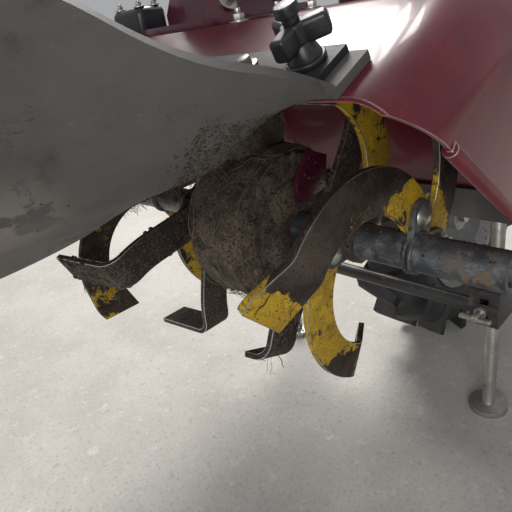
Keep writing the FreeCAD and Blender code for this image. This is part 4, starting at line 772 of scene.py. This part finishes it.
# name, node that carries them, way that they are dropped, width across flats, stud, places
FASTENERS = (
    ("strip_bolts", "flap_strip", DOWN, 7, 0, [(x, STRIP_BACK, 230) for x in range(-160, 181, 40)]),
    ("hood_bolts", "hood", DOWN, 8, 4, [(x, y, 230) for x in (-58, 58) for y in (-44, 0, 44)]),
    ("column_bolts_right", "column_head", LEFT, 9, 0, [(90, *spot) for spot in COLUMN_SPOTS]),
    ("column_bolts_left", "column_head", RIGHT, 9, 0, [(-90, *spot) for spot in COLUMN_SPOTS]),
    ("skirt_bolts", "front_skirt", BACK, 9, 0, [(x, 230, -28) for x in SKIRT_ROW]),
    ("skirt_nuts", "front_skirt", AHEAD, 9, 6, [(x, 130, -28) for x in SKIRT_ROW]),
    ("latch_nuts", "latch_box", DOWN, 5, 1.5, [(-76, -60, 240), (-46, -60, 240), (-46, -44, 240)]),
    ("leg_cover_bolts", "drive_case", RIGHT, 8, 0, leg_rows),
    ("drive_flange_bolts", "drive_tube", AHEAD, 9, 0, flange_ring),
    ("column_flange_bolts", "drive_tube", BACK, 8, 0, back_ring),
    ("recoil_bolts", "recoil_cover", LEFT, 7, 0, recoil_ring),
    ("belt_cover_bolts", "belt_cover", RIGHT, 8, 0, cover_rows),
    ("clamp_bolts", "handle_clamp", LEFT, 10, 5, [(80, 200, 330), (80, 222, 330)]),
)
for name, node, way, across, stud, places in FASTENERS:
    form = bmesh.new()
    seated = 0
    for place_mm in places:
        spot, normal = landing(node, at(*place_mm), way)
        if spot is not None and normal.dot(Vector(way)) < -SQUARE_ON:
            add_hex_bolt(form, spot, normal, across, stud=stud)
            seated += 1
    print(name, "seated", seated, "of", len(places))
    end_piece(name, form, "machine", zinc)

# %% [markdown]
# ## The rubber flap's own curve
# A rubber flap isn't flat: it is clamped along the hood's rear edge, hangs steeply on the left
# and curls up on the right, so each section across it runs at another slope. The table gives that
# slope at five places along the run, for six places across. A flat grid is drawn into that shape
# point by point, given its thickness, and replaces the plainer solid.

# %% Shape the rubber flap
# share of the width from the right edge; slopes in degrees from the clamped edge to the free one
FLAP_SLOPES = (
    (0, (-30, -14, -34, -17, -23)),
    (0.1, (56, 0, -11, -12, -16)),
    (0.25, (68, 28, 5, -2, -9)),
    (0.5, (73, 52, 27, 12, -1)),
    (0.75, (80, 68, 49, 29, 13)),
    (1, (87, 80, 66, 45, 26)),
)
FLAP_RIGHT, FLAP_LEFT, FLAP_RUN, FLAP_CLAMP, FLAP_THICK = 225, -238, 220, 30, 5
SLOPE_TOP, SLOPE_LIP, PAST_LIP, CLEAR_GAP = (-72, 190), (-150, 156), 2, 0.3
FLAP_COLUMNS, FLAP_ROWS, CLAMPED_ROWS, SLOPE_STEPS = 72, 60, 2, 4
lip_drop = math.atan2(SLOPE_TOP[1] - SLOPE_LIP[1], SLOPE_TOP[0] - SLOPE_LIP[0])


def read_table(rows, value):
    """Reads a table of (place, result) rows by straight lines between them."""
    for (low, low_result), (high, high_result) in zip(rows, rows[1:]):
        if value <= high:
            return low_result + (high_result - low_result) * (value - low) / (high - low)
    return rows[-1][1]


def flap_line(x):
    """Places down the flap at one place across it, from the clamped part to the free edge."""
    share = (FLAP_RIGHT - x) / (FLAP_RIGHT - FLAP_LEFT)
    slopes = [(step / SLOPE_STEPS, read_table([(row, angles[step]) for row, angles in FLAP_SLOPES], share))
              for step in range(SLOPE_STEPS + 1)]
    y, z = SLOPE_LIP[0] - PAST_LIP, SLOPE_LIP[1] - PAST_LIP * math.tan(lip_drop) + CLEAR_GAP
    line = [(y + reach * math.cos(lip_drop), z + reach * math.sin(lip_drop))
            for reach in (FLAP_CLAMP, FLAP_CLAMP / 2, 0)]
    free = FLAP_ROWS - CLAMPED_ROWS
    for step in range(free):
        slope = math.radians(read_table(slopes, (step + 0.5) / free))
        y -= math.cos(slope) * FLAP_RUN / free
        z -= math.sin(slope) * FLAP_RUN / free
        line.append((y, z))
    return line


form = bmesh.new()
bmesh.ops.create_grid(form, x_segments=FLAP_COLUMNS, y_segments=FLAP_ROWS, size=0.5)
flap_columns = [FLAP_LEFT + (FLAP_RIGHT - FLAP_LEFT) * column / FLAP_COLUMNS
                for column in range(FLAP_COLUMNS + 1)]
flap_lines = [flap_line(x) for x in flap_columns]
for vert in form.verts:
    column, row = round((vert.co.x + 0.5) * FLAP_COLUMNS), round((vert.co.y + 0.5) * FLAP_ROWS)
    vert.co = at(flap_columns[column], *flap_lines[column][row])
bmesh.ops.recalc_face_normals(form, faces=form.faces)
if sum(face.normal.z for face in form.faces) > 0:
    bmesh.ops.reverse_faces(form, faces=form.faces)
bmesh.ops.solidify(form, geom=form.faces, thickness=FLAP_THICK * MM)
shells["rubber_flap"] = BVHTree.FromBMesh(form)
rubber_flap = end_piece("rubber_flap", form, "machine", rubber_sheet, 60)
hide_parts("rear_flap")

# %% [markdown]
# ## Knobs of the hood
# Two hand knobs hold the flap's strip. Each has a round foot, a waist, three lobes to grip and a
# cap. The lobes are blocks with bevelled edges, turned a third of a circle from each other.

# %% Knobs
KNOB_SIDE, KNOB_SCALE = 201, 1.12
LOBE_OUT, LOBE_UP, LOBE_SIZES, LOBE_TURN = 8, 13, (13, 7.5, 9.5), 35
# height above the seat, radius at the foot and at the top, own height
KNOB_DISCS = ((0, 9, 9, 2.5), (2.5, 8, 5.5, 7), (9.5, 5.5, 5.5, 8), (17.5, 3.6, 3.6, 4), (21, 5.4, 5, 4.5))
strip_normal = Vector((0, -math.sin(lip_drop), math.cos(lip_drop)))
form = bmesh.new()
for side in (-KNOB_SIDE, KNOB_SIDE):
    spot = landing("flap_strip", at(side, STRIP_BACK, 260), DOWN)[0]
    seat = aim(spot, strip_normal) @ Matrix.Scale(KNOB_SCALE, 4)
    for low, foot, top, high in KNOB_DISCS:
        add_cone(form, seat @ Matrix.Translation((0, 0, low * MM)), foot, top, high, 32, 0.7, 3)
    for third in range(3):
        turned = seat @ Matrix.Rotation(math.radians(120 * third + LOBE_TURN), 4, "Z")
        add_block(form, turned @ Matrix.Translation((LOBE_OUT * MM, 0, LOBE_UP * MM)), LOBE_SIZES, 2.2)
hand_knobs = end_piece("hand_knobs", form, "machine", black_plastic, 50)
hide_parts("hood_knobs")

# %% [markdown]
# ## Wheel nuts and valve
# Five nuts hold the rim on its hub. Their studs pass through the rim's holes, so a nut's place is
# the hole's own middle, and only its height above the disc is found by a ray that lands beside it.

# %% Wheel nuts and valve
NUT_RING, NUT_COUNT, NUT_FIRST, BESIDE_HOLE = 46, 5, 36, 11
VALVE_UP = 82
# height above the seat, radius, own height, sides, bevel
NUT_DISCS = ((0, 12, 1.6, 20, 0.4), (1.6, 9.5, 8, 6, 0.6))
STUD_DISC = (9.6, 4.6, 5, 12, 0.5)
VALVE_DISCS = ((0, 6.5, 5, 16, 0.6), (5, 4.2, 18, 16, 0.6), (23, 3.6, 9, 16, 0.6))
form = bmesh.new()
for _, y, z in ring_places((0, *WHEEL_AXIS), "X", NUT_RING, NUT_COUNT, NUT_FIRST):
    beside = Vector((0, y - WHEEL_AXIS[0], z - WHEEL_AXIS[1])).normalized() * BESIDE_HOLE
    for start, way, discs in ((-120, RIGHT, NUT_DISCS), (200, LEFT, (*NUT_DISCS, STUD_DISC))):
        spot, normal = landing("wheel_rim", at(start, y + beside.y, z + beside.z), way)
        if spot is not None and abs(normal.x) > NEARLY_FLAT:
            add_stack(form, Vector((spot.x, at(0, y, z).y, at(0, y, z).z)), normal, discs)
end_piece("wheel_nuts", form, "wheel", zinc)
form = bmesh.new()
valve_spot = landing("wheel_rim", at(150, WHEEL_AXIS[0], WHEEL_AXIS[1] + VALVE_UP), LEFT)[0]
print("valve on", valve_spot)
add_stack(form, valve_spot, RIGHT, VALVE_DISCS)
end_piece("tyre_valve", form, "wheel", soft_rubber)

# %% [markdown]
# ## Weld beads
# The plates that carry the blades are welded to the rotor's tubes. A bead is a thin uneven ring
# in the corner between tube and plate. It is spun from a small circle, and a few random nudges
# along its way give the ripples that the welder left.

# %% Weld beads on the rotor and the column
weld_dice = random.Random(11)
BEAD_RADIUS, BEAD_THICK, BEAD_NUDGE = 16.6, 4.2, 0.35
COLUMN_BEAD = ((0, -1, 190.5), 43, 4)
EARS = {"left": (-179, -174, -117, -112, -62, -57), "right": (80, 85, 112, 117, 174, 179)}


def nudge(form, dice, most):
    """Moves each point a little at random, by up to so many mm each way."""
    for vert in form.verts:
        vert.co += any_way(dice, most) * MM


for side, faces in EARS.items():
    form = bmesh.new()
    for face_x in faces:
        add_ring(form, at(face_x, 0, 0), RIGHT, BEAD_RADIUS, BEAD_THICK, 72)
    nudge(form, weld_dice, BEAD_NUDGE)
    end_piece("weld_beads_" + side, form, "rotor", tube_black, 80)
form = bmesh.new()
add_ring(form, at(*COLUMN_BEAD[0]), UP, *COLUMN_BEAD[1:], 90)
nudge(form, weld_dice, 0.3)
end_piece("column_weld", form, "machine", cast_red, 80)

# %% [markdown]
# ## Soil caked on the gear case
# Caked soil follows the case but has its own lumpy skin, so it is a shell: a fine ball of
# triangles is drawn in until each point lies on the case, and then each point is moved out or in
# by cloudy noise. Where the noise is low the shell dips under the metal and the casting shows.

# %% Soil crust on the gear case
CRUST_THICK, CRUST_DEEPEST = 5, -2.5
CRUST_LEVEL = 0.47
LUMP_SCALE, RIDGE_SCALE, SIDE_THIN = 38, 420, 0.25
BALL_RADIUS, RAY_START = 120, 300
case_middle = at(7, 0, 0)
form = bmesh.new()
bmesh.ops.create_icosphere(form, subdivisions=7, radius=BALL_RADIUS * MM,
                           matrix=Matrix.Translation(case_middle))
for vert in form.verts:
    way = (vert.co - case_middle).normalized()
    way = Vector((way.x * 0.75, way.y, way.z)).normalized()
    spot, normal = landing("tine_case", case_middle + way * RAY_START * MM, -way)
    if spot is None:
        continue
    lumps = turbulence(spot * LUMP_SCALE, 5, False, noise_basis="PERLIN_ORIGINAL", amplitude_scale=0.55,
                       frequency_scale=2.1)
    ridge = 0.5 + 0.5 * math.sin((spot - case_middle).x * RIDGE_SCALE)
    thick = CRUST_THICK * (SIDE_THIN if abs(normal.x) > SQUARE_ON else 1)
    rise = (lumps - CRUST_LEVEL) * 2 * thick + 0.5 * ridge
    vert.co = spot + normal * max(min(rise, thick), CRUST_DEEPEST) * MM
end_piece("case_soil", form, "machine", clod_soil, 180)

# %% [markdown]
# ## Crumbs of soil
# Loose crumbs are small balls with few faces, each squeezed and turned at random and dropped onto
# a solid with the same ray as the bolts. One function serves the flap's underside, the blade
# whose foot is a lump of mud, the tube and the case's guard.

# %% Helper that scatters crumbs
CRUMB_BATCH, CRUMB_TILT, CRUMB_NUDGE = 100, 0.3, 0.12
soil_dice = random.Random(5)


def add_crumb(form, spot, normal, size):
    """One crumb of so many mm, squeezed and turned at random."""
    stretch = Matrix.Diagonal((soil_dice.uniform(0.6, 1.4), soil_dice.uniform(0.6, 1.4),
                               soil_dice.uniform(0.35, 0.7), 1))
    spin = Matrix.Rotation(soil_dice.uniform(0, math.tau), 4, "Z")
    bmesh.ops.create_icosphere(form, subdivisions=1 if size < 3 else 2, radius=size * MM / 2,
                               matrix=aim(spot, normal) @ spin @ stretch)


def crumb_piece(name, node, body, batches, low, high, way, sizes, finish):
    """Crumbs where a ray from a box in mm meets a solid. Small batches are joined, which is quicker."""
    form = bmesh.new()
    batch_mesh = bpy.data.meshes.new(name + "_batch")
    for _ in range(batches):
        batch = bmesh.new()
        for _ in range(CRUMB_BATCH):
            spot, normal = landing(node, any_place(soil_dice, low, high), way)
            share = soil_dice.random() ** 2.2
            if spot is not None:
                normal = (normal + any_way(soil_dice, CRUMB_TILT)).normalized()
                add_crumb(batch, spot, normal, sizes[0] + (sizes[1] - sizes[0]) * share)
        batch.to_mesh(batch_mesh)
        batch.free()
        form.from_mesh(batch_mesh)
    bpy.data.meshes.remove(batch_mesh)
    nudge(form, soil_dice, CRUMB_NUDGE)
    end_piece(name, form, body, finish, 180)


# %% Crumbs on the flap, the blade's foot, the tube and the guard
# name, node that they lie on, body, hundreds of rays, box of starts, way and sizes in mm
FINE_CRUMBS = (
    ("flap_soil", "rubber_flap", "machine", 42, (-120, -225, -60), (204, -154, -60), UP, (0.5, 2.2)),
    ("flap_grit", "rubber_flap", "machine", 52, (105, -216, -60), (207, -158, -60), UP, (0.35, 1.3)),
    ("flap_specks", "rubber_flap", "machine", 3, (-230, -330, -60), (212, -200, -60), UP, (0.4, 1.2)),
)
CLODS = (
    ("foot_mud", "blades_inner_left", "rotor", 5, (-158, -170, -260), (-66, -60, -200), UP, (2, 9)),
    ("foot_mud_top", "blades_inner_left", "rotor", 3, (-158, -170, 100), (-66, -60, 60), DOWN, (2, 8)),
    ("tube_soil", "rotor_tube_right", "rotor", 2, (56, -15, 60), (250, 15, 60), DOWN, (0.8, 3)),
    ("guard_soil", "case_guard", "machine", 1, (120, -2, 20), (120, 46, 72), LEFT, (1, 3)),
)
for rows, finish in ((FINE_CRUMBS, dark_crumbs), (CLODS, clod_soil)):
    for row in rows:
        crumb_piece(*row, finish)

# %% [markdown]
# ## Straw and roots
# Dry straw and roots wrap round a rotor and hang from it. Each strand is a thin curve; on the case
# its points walk at random over the solid and are drawn to its surface, and in the air they sag.
# All the strands of one kind become one mesh.

# %% Helpers for strands
def strand_piece(name, strands, body, finish, thick):
    """Thin round strands along lists of places; the curve becomes a mesh."""
    data = bpy.data.curves.new(name, "CURVE")
    data.dimensions = "3D"
    data.bevel_depth = thick * MM / 2
    data.bevel_resolution = 1
    data.resolution_u = 4
    for places, width in strands:
        spline = data.splines.new("NURBS")
        spline.points.add(len(places) - 1)
        for index, place in enumerate(places):
            spline.points[index].co = (*place, 1)
            taper = 1 - 0.5 * abs(2 * index / (len(places) - 1) - 1)
            spline.points[index].radius = width * taper
        spline.order_u = 3
        spline.use_endpoint_u = True
    holder = bpy.data.objects.new(name + "_line", data)
    mesh = bpy.data.meshes.new_from_object(holder)
    mesh.name = name
    bpy.data.objects.remove(holder)
    for face in mesh.polygons:
        face.use_smooth = True
    mesh.materials.clear()
    place_piece(name, mesh, body, finish)


def straw_finish(name, colour, deep):
    """A dry stalk with darker, wet patches."""
    skin = Layers(name, colour, deep, 0.7, 60)
    skin.grain(800, 0.2)
    skin.spots(120, 0.35, 0.1, WET_SOIL, 0.9)
    return skin.done(0.1)


straw = straw_finish("dry_straw", (0.26, 0.2, 0.13), (0.11, 0.08, 0.052))
root_brown = straw_finish("brown_root", (0.06, 0.042, 0.028), (0.03, 0.02, 0.014))

# %% Straw wrapped round the gear case
STRAWS = 70
CASE_LEFT, CASE_RIGHT, STRAW_RAY = -27, 43, 200
straw_dice = random.Random(23)
wrapped = []
for _ in range(STRAWS):
    angle = straw_dice.uniform(0, math.tau)
    side = straw_dice.uniform(-25, 42)
    drift_x = straw_dice.uniform(-9, 9)
    turn_step = straw_dice.uniform(0.02, 0.17) * straw_dice.choice((-1, 1))
    places = []
    for _ in range(straw_dice.randint(5, 11)):
        way = Vector((0, math.cos(angle), math.sin(angle)))
        spot, normal = landing("tine_case", at(side, 0, 0) + way * STRAW_RAY * MM, -way)
        if spot is not None:
            places.append(spot + normal * straw_dice.uniform(2, 7) * MM)
        angle += turn_step + straw_dice.uniform(-0.04, 0.04)
        side = min(max(side + drift_x + straw_dice.uniform(-2, 2), CASE_LEFT), CASE_RIGHT)
    if len(places) > 3:
        wrapped.append((places, straw_dice.uniform(0.6, 1.4)))
strand_piece("case_straw", wrapped, "machine", straw, 0.7)


# %% Roots that hang, threads on the case and fibres on the flap
def hanging(start, end, sag, count, stray=2):
    """A strand between two places in mm, with a sag in mm and small random kinks."""
    places = []
    for index in range(count):
        share = index / (count - 1)
        place = Vector(start).lerp(Vector(end), share)
        place.z -= sag * 4 * share * (1 - share)
        place += any_way(straw_dice, stray) * (0 < index < count - 1)
        places.append(at(*place))
    return places


def roots_from(node, low, high, way, count, reach, drop):
    """Short roots that start on a solid and hang from it; with a negative drop they stand up."""
    strands = []
    for _ in range(count):
        spot = landing(node, any_place(straw_dice, low, high), way)[0]
        if spot is None:
            continue
        place = (spot - rotor_mid) / MM
        end = place + Vector((straw_dice.uniform(-reach, reach), straw_dice.uniform(-reach, reach),
                              -straw_dice.uniform(0.3, 1) * drop))
        strands.append((hanging(place, end, straw_dice.uniform(-3, 4), 6), straw_dice.uniform(0.5, 1.2)))
    return strands


# node, box of starts in mm, way of the ray, count, reach to the sides, drop
ROOTS = (
    ("blades_outer_right", (150, -160, -60), (168, -120, -60), UP, 5, 14, 26),
    ("blades_inner_left", (-156, -170, -260), (-66, -60, -260), UP, 16, 12, 16),
    ("blades_inner_left", (-120, -150, 100), (-66, -60, 100), DOWN, 10, 14, -12),
    ("blades_inner_right", (50, -98, -200), (80, -60, -200), UP, 5, 10, 20),
)
roots = [strand for row in ROOTS for strand in roots_from(*row)]
strand_piece("rotor_roots", roots, "rotor", root_brown, 0.9)

# first place, last place, sag, points
THREADS = (
    ((50, -42, 64), (38, -84, 20), 2, 6), ((30, -30, 78), (50, -80, 6), -3, 7),
    ((52, -20, 76), (36, -78, 40), 4, 6), ((44, -70, 44), (48, -84, -6), 2, 5),
    ((20, -70, 48), (46, -82, 22), 3, 6), ((46, -50, 62), (52, -88, 30), -4, 6),
    ((50, -76, 26), (46, -78, -30), 2, 5), ((20, 0, 84), (40, -90, 52), 8, 8),
)
strand_piece("case_threads", [(hanging(*thread), 0.8) for thread in THREADS], "machine", straw, 0.7)

FIBRES = 600
fibres = []
for _ in range(FIBRES):
    start = at(straw_dice.uniform(90, 206), straw_dice.uniform(-215, -158), -60)
    spot, normal = landing("rubber_flap", start, UP)
    if spot is not None:
        way = (normal + any_way(straw_dice, 0.9)).normalized()
        reach = straw_dice.uniform(2, 7) * MM
        bend = any_way(straw_dice, 1) * reach * 0.3
        places = [spot, spot + way * reach / 2 + bend, spot + way * reach]
        fibres.append((places, straw_dice.uniform(0.5, 1)))
strand_piece("flap_fibres", fibres, "machine", root_brown, 0.35)

# %% [markdown]
# ## Small parts of the engine, the grips and the stand
# A few small parts tell what a block is: the starter's pull grip, the cap on the spark plug, the
# ribs of the grips, and the screws that lock the stand's legs. They are short stacks of discs and
# blocks on the same ray-found seats.

# %% Starter grip
PULL_DISC, PULL_BLOCK = (0, 8, 5, 20, 0.8), (38, 12, 15)
form = bmesh.new()
pull_spot, pull_way = landing("recoil_cover", at(100, 380, 235), AHEAD)
print("starter grip on", pull_spot)
add_stack(form, pull_spot, pull_way, (PULL_DISC,))
add_block(form, aim(pull_spot + pull_way * 12 * MM, pull_way), PULL_BLOCK, 3.5)
end_piece("starter_grip", form, "machine", black_plastic, 50)

# %% Plug cap
PLUG_DISCS = ((0, 7, 7, 20, 1.2), (7, 9.5, 16, 20, 1.2), (23, 7.5, 7, 20, 1.2))
form = bmesh.new()
plug_spot, plug_way = landing("cylinder", at(24, 790, 330), (0, -0.8, -0.6))
print("plug cap on", plug_spot)
add_stack(form, plug_spot, plug_way, PLUG_DISCS)
end_piece("plug_cap", form, "machine", soft_rubber, 50)

# %% Lock screws of the stand's legs
LEG_SIDE, SCREW_ACROSS, NECK_DISC, BAR_SIZES = 167, 13, (7.8, 4.5, 14, 16, 0.6), (36, 6, 6)
form = bmesh.new()
for side in (-LEG_SIDE, LEG_SIDE):
    spot, normal = landing("stand_bar", at(side, 60, -153), AHEAD)
    if spot is not None:
        add_hex_bolt(form, spot, normal, SCREW_ACROSS, False)
        add_stack(form, spot, normal, (NECK_DISC,))
        add_block(form, aim(spot + normal * 19 * MM, normal), BAR_SIZES, 1.8, 3)
end_piece("leg_lock_screws", form, "machine", zinc, 50)

# %% Ribs of the grips
RIB_COUNT, RIB_FIRST, RIB_STEP, RIB_RADIUS, RIB_THICK = 12, 15, 8, 15.4, 3.2
form = bmesh.new()
for grip in ("grip_left", "grip_right"):
    low, high = (Vector(corner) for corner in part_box(grip))
    spot = Vector(((low.x + high.x) / 2, low.y + RIB_FIRST * MM, (low.z + high.z) / 2))
    for index in range(RIB_COUNT):
        add_ring(form, spot + Vector(AHEAD) * index * RIB_STEP * MM, AHEAD, RIB_RADIUS, RIB_THICK, 28)
end_piece("grip_ribs", form, "handle", soft_rubber, 80)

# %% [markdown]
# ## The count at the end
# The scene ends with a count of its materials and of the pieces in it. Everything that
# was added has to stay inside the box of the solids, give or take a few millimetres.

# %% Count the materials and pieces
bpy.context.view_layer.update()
pieces = [thing for thing in scene.objects if thing.type == "MESH"]
print("materials:", len(bpy.data.materials), "pieces:", len(pieces))
